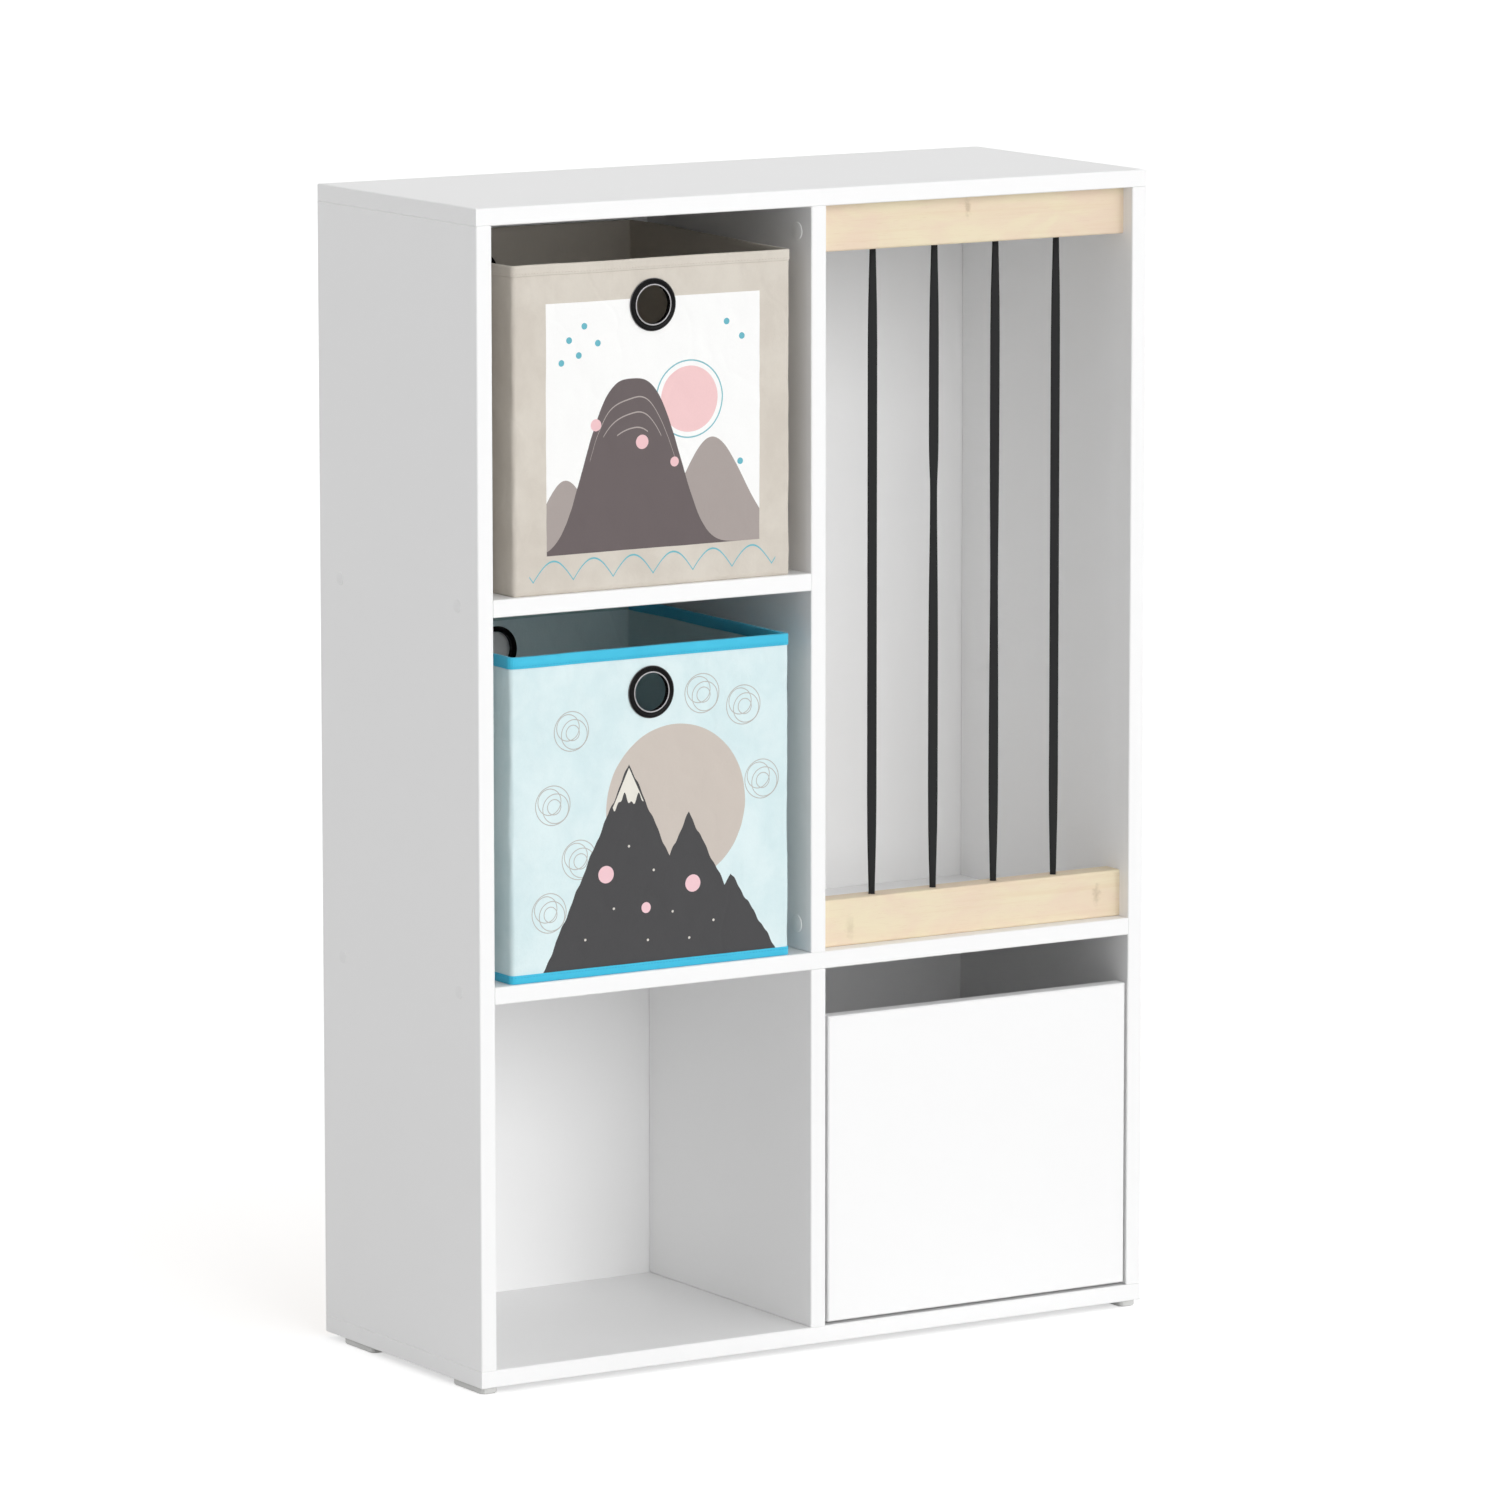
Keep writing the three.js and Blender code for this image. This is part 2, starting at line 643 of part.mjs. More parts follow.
// Both hands of a runner or roller, on the cabinet wall or turned over to the other one
function bothHands(name, geometry, finish, [x, y, z]) {
  const wall = clearWidth / 2;
  return [
    piece(`left_${name}`, geometry, finish, [x - wall, y, z]),
    piece(`right_${name}`, closedGeometry(geometry.clone().scale(-1, 1, 1)), finish, [wall - x, y, z]),
  ];
}

const rollerCentreX = (rollerInnerX + rollerOuterX) / 2;
const runnerPlace = [0, runnerSetback, drawerLift];

function runnersOnCabinet() {
  const group = new THREE.Group();
  const rollerPlace = [rollerCentreX, runnerSetback + frontRollerInset, drawerLift + frontRollerZ];
  group.add(...bothHands("cabinet_runner", toGeometry(cabinetRunner()), "whiteSteel", runnerPlace));
  group.add(...bothHands("cabinet_roller", rollerGeometry(frontRollerRadius), "whitePlastic", rollerPlace));
  return group;
}

// The drawer, in the frame of its bay: x from the bay's middle, y from the cabinet's front, z from its floor
function drawer() {
  const group = new THREE.Group();
  const frontHalf = clearWidth / 2 - drawerReveal;
  const outer = clearWidth / 2 - runnerSpace;
  const inner = outer - drawerWallThickness;
  const wallTop = drawerLift + drawerWallHeight;
  const bottomUnder = drawerLift + drawerBottomRise;
  const bottomTop = bottomUnder + drawerBottomThickness;
  const groove = toSolid(new THREE.BoxGeometry(
    2 * (inner + grooveDepth),
    2 * drawerDepth,
    drawerBottomThickness + 2 * grooveClearance,
  )).translate([0, drawerFrontThickness - grooveDepth + drawerDepth, (bottomUnder + bottomTop) / 2]);
  const wallY = [drawerFrontThickness, drawerDepth];
  const wallZ = [drawerLift, wallTop];
  group.add(boardPiece(
    "drawer_front",
    [-frontHalf, frontHalf],
    [0, drawerFrontThickness],
    [drawerReveal, drawerReveal + drawerFrontHeight],
    "whiteBoard",
    [groove],
    drawerFrontEase,
  ));
  group.add(boardPiece("drawer_left_wall", [-outer, -inner], wallY, wallZ, "whiteBoard", [groove]));
  group.add(boardPiece("drawer_right_wall", [inner, outer], wallY, wallZ, "whiteBoard", [groove]));
  group.add(boardPiece(
    "drawer_rear_wall",
    [-inner, inner],
    [drawerDepth - drawerWallThickness, drawerDepth],
    [bottomTop + grooveClearance, wallTop],
    "whiteBoard",
  ));
  const bottomHalf = inner + grooveDepth - grooveClearance;
  group.add(boardPiece(
    "drawer_bottom",
    [-bottomHalf, bottomHalf],
    [drawerFrontThickness - grooveDepth + grooveClearance, drawerDepth - edgeEase],
    [bottomUnder, bottomTop],
    "whiteBoard",
    [],
    sheetEase,
  ));
  const rollerPlace = [rollerCentreX, runnerSetback + rearRollerY, drawerLift + rearRollerZ];
  group.add(...bothHands("drawer_runner", toGeometry(drawerRunner()), "whiteSteel", runnerPlace));
  group.add(...bothHands("drawer_roller", rollerGeometry(rearRollerRadius), "whitePlastic", rollerPlace));
  return group;
}

// One eyelet, drawn with its axis along y and the wall's outer face at height 0
function eyeletGeometry() {
  const rimEdge = eyeletRimHeight / 2;
  const wallInner = boxWall + eyeletGap;
  return closedGeometry(revolved("y", [
    [eyeletHoleRadius, -eyeletRimHeight],
    [eyeletRimRadius - rimEdge, -eyeletRimHeight],
    [eyeletRimRadius, -rimEdge],
    [eyeletRimRadius, -eyeletGap],
    [eyeletBarrelRadius, -eyeletGap],
    [eyeletBarrelRadius, wallInner],
    [eyeletBackRadius, wallInner],
    [eyeletBackRadius, boxWall + eyeletBackHeight],
    [eyeletHoleRadius, boxWall + eyeletBackHeight],
    [eyeletHoleRadius, -eyeletRimHeight],
  ], eyeletSides));
}

function ring(outerGrow, innerGrow, width, depth, from, to) {
  const outer = roundedRectangle(width + 2 * outerGrow, depth + 2 * outerGrow, boxCornerRadius + outerGrow);
  const inner = roundedRectangle(width + 2 * innerGrow, depth + 2 * innerGrow, boxCornerRadius + innerGrow);
  return toSolid(prism(outer, from, to)).subtract(toSolid(prism(inner, from - 1, to + 1)));
}

// A fabric box in its own frame, standing at the middle of its base. A bound box has tape round its
// rim and base, and a hemmed one has its own cloth turned over at the rim. The rear eyelet may sit
// off the middle
function fabricBox(name, [boxWidth, boxDepth], rearEyeletShift, finish, bindingFinish) {
  const group = new THREE.Group();
  const tape = bindingGap + bindingThickness;
  const grow = bindingFinish ? tape : hemThickness;
  const width = boxWidth - 2 * grow;
  const depth = boxDepth - 2 * grow;
  const height = bindingFinish ? boxHeight - tape : boxHeight;
  const insideWidth = width - 2 * boxWall;
  const insideDepth = depth - 2 * boxWall;
  const frontEyeletPlace = [0, -depth / 2, boxHeight - frontEyeletDrop];
  const rearEyeletPlace = [rearEyeletShift, depth / 2, boxHeight - rearEyeletDrop];
  const cavity = toSolid(prism(
    roundedRectangle(insideWidth, insideDepth, boxCornerRadius - boxWall), boxWall, height + 1));
  const [frontHole, rearHole] = [frontEyeletPlace, rearEyeletPlace].map(
    (place) => cylinder("y", eyeletBarrelRadius + eyeletGap, depth, place, eyeletSides));
  const blank = toSolid(prism(roundedRectangle(width, depth, boxCornerRadius), 0, height));
  const hem = ring(grow, -boxWall / 2, width, depth, height - hemHeight, height);
  const shell = (bindingFinish ? blank : blank.add(hem)).subtract(cavity);
  const walls = shell.subtract(frontHole).subtract(rearHole);
  group.add(piece(`${name}_fabric`, toGeometry(walls), finish));
  group.add(piece(
    `${name}_base_insert`,
    easedBoard(
      [insideWidth - 2 * insertClearance, insideDepth - 2 * insertClearance, insertThickness], sheetEase),
    "greyBoard",
    [0, 0, boxWall + insertThickness / 2],
  ));
  const rearEyelet = closedGeometry(eyeletGeometry().scale(1, -1, 1));
  group.add(piece(`${name}_front_eyelet`, eyeletGeometry(), "blackPlastic", frontEyeletPlace));
  group.add(piece(`${name}_rear_eyelet`, rearEyelet, "blackPlastic", rearEyeletPlace));
  if (bindingFinish) {
    const folded = ring(tape, -boxWall - tape, width, depth, height - topBindingHeight, height + tape);
    const slot = ring(bindingGap, -boxWall - bindingGap, width, depth, 0, height + bindingGap);
    const baseTape = ring(tape, bindingGap, width, depth, 0, bottomBindingHeight);
    group.add(piece(`${name}_top_binding`, toGeometry(folded.subtract(slot)), bindingFinish));
    group.add(piece(`${name}_bottom_binding`, toGeometry(baseTape), bindingFinish));
  }
  return group;
}

const boxCentreX = (innerGap, width) => -boardHalf - innerGap - width / 2;
const boxCentreY = (setback, depth) => frontY + setback + depth / 2;
const upperBox = fabricBox("upper_box", [upperBoxWidth, upperBoxDepth], upperRearEyeletShift, "beigeFabric");
upperBox.position.set(
  boxCentreX(upperBoxInnerGap, upperBoxWidth), boxCentreY(upperBoxSetback, upperBoxDepth), upperShelfTop);
const lowerBox = fabricBox(
  "lower_box", [lowerBoxWidth, lowerBoxDepth], lowerRearEyeletShift, "aquaFabric", "blueFabric");
lowerBox.position.set(
  boxCentreX(lowerBoxInnerGap, lowerBoxWidth), boxCentreY(lowerBoxSetback, lowerBoxDepth), middleShelfTop);

const drawerBay = new THREE.Group();
drawerBay.position.set(columnCentre, frontY, floorTop);
drawerBay.add(runnersOnCabinet(), drawer());

const shelfUnit = new THREE.Group();
shelfUnit.add(carcass(), feet(), toyBay(), drawerBay, upperBox, lowerBox);

export default shelfUnit;
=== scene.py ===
# %% [markdown]
# # A children's shelf unit, dressed for its portrait
# The frame is the imported model of the unit: white boards, wooden rails, elastic straps, a drawer on
# roller runners, and two fabric boxes as plain solids. Every piece made here sits in that same frame,
# in metres, with the front towards -Y and the floor at z = 0.

import math

import bmesh
import bpy
import numpy as np
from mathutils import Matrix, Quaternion, Vector, noise


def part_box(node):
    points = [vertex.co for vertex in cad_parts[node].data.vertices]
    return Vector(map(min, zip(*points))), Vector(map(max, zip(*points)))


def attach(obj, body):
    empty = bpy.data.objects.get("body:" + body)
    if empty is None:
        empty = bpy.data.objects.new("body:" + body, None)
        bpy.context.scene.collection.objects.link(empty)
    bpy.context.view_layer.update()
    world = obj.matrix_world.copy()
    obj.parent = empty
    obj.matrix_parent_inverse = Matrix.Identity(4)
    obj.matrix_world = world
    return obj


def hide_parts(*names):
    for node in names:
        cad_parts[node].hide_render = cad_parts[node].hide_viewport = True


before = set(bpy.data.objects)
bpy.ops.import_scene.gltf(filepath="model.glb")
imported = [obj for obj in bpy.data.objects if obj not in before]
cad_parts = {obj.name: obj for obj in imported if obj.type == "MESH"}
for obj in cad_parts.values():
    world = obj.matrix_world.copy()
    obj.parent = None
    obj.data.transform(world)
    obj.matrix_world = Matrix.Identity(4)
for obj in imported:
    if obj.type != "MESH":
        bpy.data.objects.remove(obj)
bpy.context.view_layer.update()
MM = 0.001


def placed(name, data):
    """An object with this data, at the origin and in the scene."""
    made = bpy.data.objects.new(name, data)
    bpy.context.scene.collection.objects.link(made)
    return made


# %% [markdown]
# ## The camera
# In the photo every upright is exactly parallel, as a lens shifted far down makes them. A shift of that
# size would push the unit out of every other view, so this is the closest camera without one. It leaves
# about five pixels between the unit's corners and the photo's, and ten at worst. The yaw turns from +Y
# towards +X, and the pitch looks down.

# %% Place the camera
PHOTO_LENS = 219.1452
PHOTO_PLACE = Vector((-4.4220, -7.1191, 1.8500))
PHOTO_YAW, PHOTO_PITCH, PHOTO_ROLL = (math.radians(a) for a in (31.9413, 8.8691, 0.0244))

lens = bpy.data.cameras.new("portrait_lens")
lens.sensor_width = 36
lens.lens = PHOTO_LENS
lens.clip_start, lens.clip_end = 0.1, 200
camera = placed("portrait_camera", lens)
sight = Vector((
    math.sin(PHOTO_YAW) * math.cos(PHOTO_PITCH),
    math.cos(PHOTO_YAW) * math.cos(PHOTO_PITCH),
    -math.sin(PHOTO_PITCH),
))
camera.rotation_mode = "QUATERNION"
camera.rotation_quaternion = Quaternion(sight, PHOTO_ROLL) @ sight.to_track_quat("-Z", "Y")
camera.location = PHOTO_PLACE
bpy.context.scene.camera = camera
print("camera", tuple(round(v, 3) for v in camera.location), "lens", lens.lens)

# %% [markdown]
# ## Writing node maths as Python
# A net of nodes is long and hard to read. `Wire` holds one output socket and lets it be used in a sum,
# so that `1 - mask * 0.2` adds its own Math nodes. `Net` is a node tree with one way to make a node,
# `add`, from its type, its settings and its socket values. `wire` makes one too, and gives its output.
# A material is a `Finish`, a net round one principled shader.

# %% A wire, a net and a finish
def srgb(red, green, blue):
    """A colour as read from a picture, 0 to 255, turned into the light values that shaders use."""
    shares = (v / 255 for v in (red, green, blue))
    return tuple(v / 12.92 if v <= 0.04045 else ((v + 0.055) / 1.055) ** 2.4 for v in shares)


class Wire:
    """One output socket of a net, usable in Python sums."""

    def __init__(self, net, socket):
        self.net, self.socket = net, socket

    def sum(self, operation, *values):
        return self.net.wire("ShaderNodeMath", {"operation": operation}, dict(enumerate(values)))

    def __add__(self, other): return self.sum("ADD", self, other)
    def __radd__(self, other): return self.sum("ADD", other, self)
    def __sub__(self, other): return self.sum("SUBTRACT", self, other)
    def __rsub__(self, other): return self.sum("SUBTRACT", other, self)
    def __mul__(self, other): return self.sum("MULTIPLY", self, other)
    def __rmul__(self, other): return self.sum("MULTIPLY", other, self)
    def __truediv__(self, other): return self.sum("DIVIDE", self, other)
    def __rtruediv__(self, other): return self.sum("DIVIDE", other, self)
    def __pow__(self, other): return self.sum("POWER", self, other)
    def __lt__(self, other): return self.sum("LESS_THAN", self, other)
    def __gt__(self, other): return self.sum("GREATER_THAN", self, other)
    def __abs__(self): return self.sum("ABSOLUTE", self)
    def sin(self): return self.sum("SINE", self)
    def cos(self): return self.sum("COSINE", self)
    def exp(self): return self.sum("EXPONENT", self)
    def sign(self): return self.sum("SIGN", self)
    def root(self): return self.sum("SQRT", self)
    def most(self, other): return self.sum("MAXIMUM", self, other)
    def between(self, low, high): return (self > low) * (self < high)

    def ramp(self, low, high, start=0.0, end=1.0):
        """Smoothly from start, at low, to end, at high."""
        return self.net.wire("ShaderNodeMapRange", {"interpolation_type": "SMOOTHSTEP"}, {
            "Value": self, "From Min": low, "From Max": high, "To Min": start, "To Max": end})


class Net:
    """A node tree, emptied, and one way to make its nodes."""

    def __init__(self, tree):
        self.tree = tree
        tree.nodes.clear()

    def add(self, kind, settings=None, sockets=None):
        node = self.tree.nodes.new(kind)
        for key, value in (settings or {}).items():
            setattr(node, key, value)
        for key, value in (sockets or {}).items():
            self.feed(node.inputs[key], value)
        return node

    def wire(self, kind, settings=None, sockets=None, out=0):
        return Wire(self, self.add(kind, settings, sockets).outputs[out])

    def feed(self, socket, value):
        if isinstance(value, Wire):
            self.tree.links.new(value.socket, socket)
        elif socket.type == "RGBA" and len(value) == 3:
            socket.default_value = (*value, 1)
        else:
            socket.default_value = value

    def split(self, vector):
        node = self.add("ShaderNodeSeparateXYZ", {}, {0: vector})
        return [Wire(self, output) for output in node.outputs]


class Finish(Net):
    """One procedural material: a principled shader and the nodes that feed it."""

    def __init__(self, name, colour, roughness, **sockets):
        self.material = bpy.data.materials.new(name)
        self.material.use_nodes = True
        super().__init__(self.material.node_tree)
        self.shader = self.add("ShaderNodeBsdfPrincipled")
        self.set(Base_Color=colour, Roughness=roughness, **sockets)
        self.add("ShaderNodeOutputMaterial", {}, {"Surface": Wire(self, self.shader.outputs["BSDF"])})
        self.place = self.wire("ShaderNodeTexCoord", out="Object")
        self.x, self.y, self.z = self.split(self.place)

    def facing(self):
        """The way a surface faces, as three wires."""
        return self.split(self.wire("ShaderNodeNewGeometry", out="Normal"))

    def metres(self):
        """The mesh's own map, which is in metres, as three wires."""
        return self.split(self.wire("ShaderNodeUVMap", {"uv_map": "metres"}))

    def noise(self, scale, detail=2.0, rough=0.5, shift=(0, 0, 0), bend=0.0):
        """Cloudy values about 0.5. Scale is in features to the metre, one number or one for each axis."""
        moved = self.wire("ShaderNodeMapping", {}, {
            "Vector": self.place, "Location": shift,
            "Scale": scale if isinstance(scale, tuple) else (scale,) * 3})
        return self.wire("ShaderNodeTexNoise", {}, {
            "Vector": moved, "Scale": 1.0, "Detail": detail, "Roughness": rough,
            "Distortion": bend}, "Fac")

    def blend(self, factor, first, second):
        """A colour that goes from first, at a factor of 0, to second, at 1."""
        return self.wire("ShaderNodeMix", {"data_type": "RGBA"}, {0: factor, 6: first, 7: second}, 2)

    def set(self, **sockets):
        """Feeds the principled shader's own sockets, named with _ for a space."""
        for key, value in sockets.items():
            self.feed(self.shader.inputs[key.replace("_", " ")], value)

    def bump(self, height, depth):
        """Raises the surface by height times depth, in metres."""
        self.set(Normal=self.wire("ShaderNodeBump", {}, {
            "Height": height, "Distance": depth, "Strength": 1.0}, "Normal"))

    def on(self, *names):
        """Puts this finish on nodes of the frame."""
        for name in names:
            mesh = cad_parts[name].data
            mesh.materials.clear()
            mesh.materials.append(self.material)
        return self


print("srgb(200, 200, 200) is", tuple(round(v, 3) for v in srgb(200, 200, 200)))

# %% [markdown]
# ## White melamine board
# The cabinet is chipboard with a white melamine skin and a thin plastic band on each front edge. Seen
# close, the skin is not glassy: it has a fine pebble, and its gloss drifts a little. The band is a
# touch whiter and smoother than the faces, so it is picked out by the way the surface faces.

# %% Board, back sheet
board = Finish("white_melamine", srgb(246, 246, 246), 0.42)
_, front_facing, _ = board.facing()
band = (front_facing * -1) > 0.8
cloud = board.noise(5.0, 3.0)
pebble = board.noise(1400.0, 2.0, 0.6)
board.set(
    Base_Color=board.blend(
        band,
        board.blend(cloud, srgb(244, 244, 244), srgb(247, 247, 247)),
        srgb(248, 248, 248)),
    Roughness=0.40 + cloud * 0.08 - band * 0.05 + pebble * 0.04)
board.bump(pebble * (1 - band * 0.6), 0.00003)
board.on(
    "top_panel", "bottom_panel", "left_side", "right_side", "middle_shelf", "upper_left_shelf",
    "upper_divider", "lower_divider", "drawer_front", "drawer_left_wall", "drawer_right_wall",
    "drawer_rear_wall")

sheet = Finish("white_back_sheet", srgb(238, 238, 237), 0.5)
fibre = sheet.noise(420.0, 4.0, 0.6)
drift = sheet.noise(4.0, 2.0)
_, behind_facing, _ = sheet.facing()
bare_side = behind_facing > 0.8
sheet.set(
    Base_Color=sheet.blend(
        bare_side * (1 - (sheet.y < 0.1)),
        sheet.blend(drift, srgb(242, 242, 242), srgb(245, 245, 245)),
        sheet.blend(fibre.ramp(0.35, 0.65), srgb(176, 146, 112), srgb(196, 168, 134))),
    Roughness=0.5 + fibre * 0.15 + bare_side * 0.2)
sheet.bump(fibre, 0.00006)
sheet.on("back_panel", "drawer_bottom")
print("boards dressed")

# %% [markdown]
# ## Pale wooden rails
# The two rails are a light, almost cream wood. Its grain runs along the rail, so the pattern is
# stretched along X. Three layers make it: broad pink and yellow clouds, faint growth lines, and short
# dark pores. Three small knot marks break it where the photo shows them.

# %% Wood
wood = Finish("pale_wood", srgb(240, 221, 190), 0.5)
clouds = wood.noise((14.0, 40.0, 38.0), 3.0, 0.6, bend=0.6)
growth = wood.noise((3.2, 130.0, 170.0), 4.0, 0.6, shift=(0.4, 0.2, 1.3), bend=0.9)
pores = wood.noise((45.0, 1500.0, 1700.0), 2.0, 0.6)
tone = wood.blend(clouds.ramp(0.3, 0.7), srgb(231, 210, 187), srgb(233, 220, 190))
tone = wood.blend(growth.ramp(0.5, 0.75) * 0.3, tone, srgb(222, 196, 163))
tone = wood.blend((pores > 0.63) * 0.2, tone, srgb(206, 176, 140))
blur = (wood.noise(230.0, 2.0) - 0.5) * 0.009
for knot_x, knot_z, size, depth in ((171, 1050, 5.0, 0.4), (318, 397, 6.0, 0.4), (44, 390, 7.0, 0.22)):
    dx, dz = wood.x - knot_x * MM, (wood.z - knot_z * MM) * 0.5
    knot = ((dx * dx + dz * dz).root() + blur).ramp(0.0003, size * MM, 1.0, 0.0)
    tone = wood.blend(knot * depth, tone, srgb(158, 136, 100))
wood.set(Base_Color=tone, Roughness=0.46 + growth * 0.18)
wood.bump(growth * 0.5 + pores * 0.5, 0.00007)
wood.on("upper_rail", "lower_rail")
print("wood dressed")

# %% [markdown]
# ## Moulded plastic, painted and plated steel
# Small hardware gets its own finishes: satin plastic for the glides, rollers and covers, white powder
# paint for the runners, bright zinc for the bolts and grey board for the inserts in the box bases.

# %% Hardware finishes
def moulded(name, low, high, roughness, grain=900.0, depth=0.00002, **sockets):
    """A plastic or painted skin whose tone and gloss drift between two colours."""
    made = Finish(name, low, roughness, **sockets)
    skin = made.noise(grain, 2.0, 0.6)
    drift = made.noise(60.0, 2.0)
    made.set(Base_Color=made.blend(drift, low, high), Roughness=roughness + (skin - 0.5) * 0.12)
    made.bump(skin, depth)
    return made


glide = moulded("glide_plastic", srgb(205, 205, 203), srgb(214, 214, 212), 0.5)
glide.on("front_left_foot", "front_right_foot", "rear_left_foot", "rear_right_foot")
cover = moulded("cover_plastic", srgb(238, 238, 238), srgb(242, 242, 242), 0.38)
cam_cover = moulded("cam_cover_plastic", srgb(246, 246, 245), srgb(250, 250, 249), 0.3)
paint = moulded("runner_paint", srgb(234, 234, 232), srgb(240, 240, 238), 0.34, 500.0, 0.00005)
paint.on("left_cabinet_runner", "right_cabinet_runner", "left_drawer_runner", "right_drawer_runner")
nylon = moulded("roller_nylon", srgb(232, 232, 228), srgb(240, 240, 236), 0.4)
zinc = moulded("bright_zinc", srgb(178, 180, 183), srgb(200, 202, 204), 0.3, 700.0, Metallic=1.0)
zinc.on(*(f"divider_{end}_{place}_cam_bolt" for end in ("top", "bottom") for place in ("front", "rear")))
card = moulded("insert_board", srgb(120, 113, 108), srgb(134, 127, 121), 0.85, 300.0, 0.0001)
card.on("upper_box_base_insert", "lower_box_base_insert")
print("hardware dressed")

# %% [markdown]
# ## Turned parts
# Eyelets and rollers are round, so each is drawn as a profile that is carried round an axis. The
# corners of the profile are rounded first: a real moulded edge always catches a thin line of light,
# and a sharp one never does.

# %% Helpers for meshes
def shown(name, points, faces, material, uv=None, sharp=None):
    """Makes a mesh object at the origin, with its normals outwards and smooth faces. uv holds a list
    of corner places for each face."""
    mesh = bpy.data.meshes.new(name)
    mesh.from_pydata([tuple(p) for p in points], [], faces)
    if uv is not None:
        corners = np.array([corner for face in uv for corner in face], np.float32)
        mesh.uv_layers.new(name="metres").data.foreach_set("uv", corners.ravel())
    shell = bmesh.new()
    shell.from_mesh(mesh)
    bmesh.ops.recalc_face_normals(shell, faces=shell.faces)
    shell.to_mesh(mesh)
    shell.free()
    mesh.shade_smooth()
    if sharp is not None:
        mesh.set_sharp_from_angle(angle=math.radians(sharp))
    mesh.materials.append(material)
    return placed(name, mesh)


def rounded(profile, radius, steps=3):
    """Rounds each corner of a closed profile of (radius, height) pairs."""
    points, made = [Vector(p) for p in profile], []
    for i, corner in enumerate(points):
        before, after = points[i - 1] - corner, points[(i + 1) % len(points)] - corner
        cut = min(radius, before.length * 0.45, after.length * 0.45)
        start, end = corner + before.normalized() * cut, corner + after.normalized() * cut
        for k in range(steps + 1):
            t = k / steps
            made.append(start * (1 - t) ** 2 + corner * 2 * t * (1 - t) + end * t ** 2)
    return made


def turned(name, profile, soft, centre, axis, material, segments=64, forwards=1):
    """Carries a closed profile of (radius, height) in millimetres, with its corners rounded by soft,
    round the axis "x" or "y" through centre, turned about when forwards is -1. The UV map holds the
    height and the radius, so that a finish can pick out a lip."""
    profile = [(r * MM, h * MM) for r, h in rounded(profile, soft)]
    points, count, uv = [], len(profile), []
    for k in range(segments):
        c, s = math.cos(2 * math.pi * k / segments), math.sin(2 * math.pi * k / segments)
        for radius, height in profile:
            reach = height * forwards
            offset = (reach, radius * c, radius * s) if axis == "x" else (radius * c, reach, radius * s)
            points.append([centre[i] + offset[i] for i in range(3)])
    faces = []
    for k in range(segments):
        for i in range(count):
            here, there = k * count, (k + 1) % segments * count
            faces.append((here + i, here + (i + 1) % count, there + (i + 1) % count, there + i))
            near, far = profile[i][::-1], profile[(i + 1) % count][::-1]
            uv.append([near, far, far, near])
    return shown(name, points, faces, material, uv)


# %% [markdown]
# ## Drawer rollers
# Each roller is a nylon wheel on a riveted pin, with a shallow recess on both faces. It rides on its
# own body, because it turns as the drawer moves.

# %% Rollers
def roller(name, radius, body):
    low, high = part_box(name)
    bore, hub, face, recess = 2.25, 4.3, 3.0, 1.6
    wheel = turned(name + "_wheel", [
        (bore, -recess), (hub, -recess), (hub, -face), (radius - 0.5, -face), (radius, -face + 0.6),
        (radius, face - 0.6), (radius - 0.5, face), (hub, face), (hub, recess), (bore, recess)],
        0.35, (low + high) / 2, "x", nylon.material)
    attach(wheel, body)
    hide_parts(name)


for side in ("left", "right"):
    roller(f"{side}_drawer_roller", 10.0, f"{side}_drawer_roller")
    roller(f"{side}_cabinet_roller", 8.5, f"{side}_cabinet_roller")

# %% [markdown]
# ## Geometry Nodes, one small builder
# Discs, nails, stitches and straps repeat or follow a line, so Geometry Nodes grow them. `Grower`
# builds a tree with named inputs, runs it once on a carrier mesh, and keeps the plain mesh that comes
# out. A modifier's input is set by the socket's identifier, not by the name a person reads.

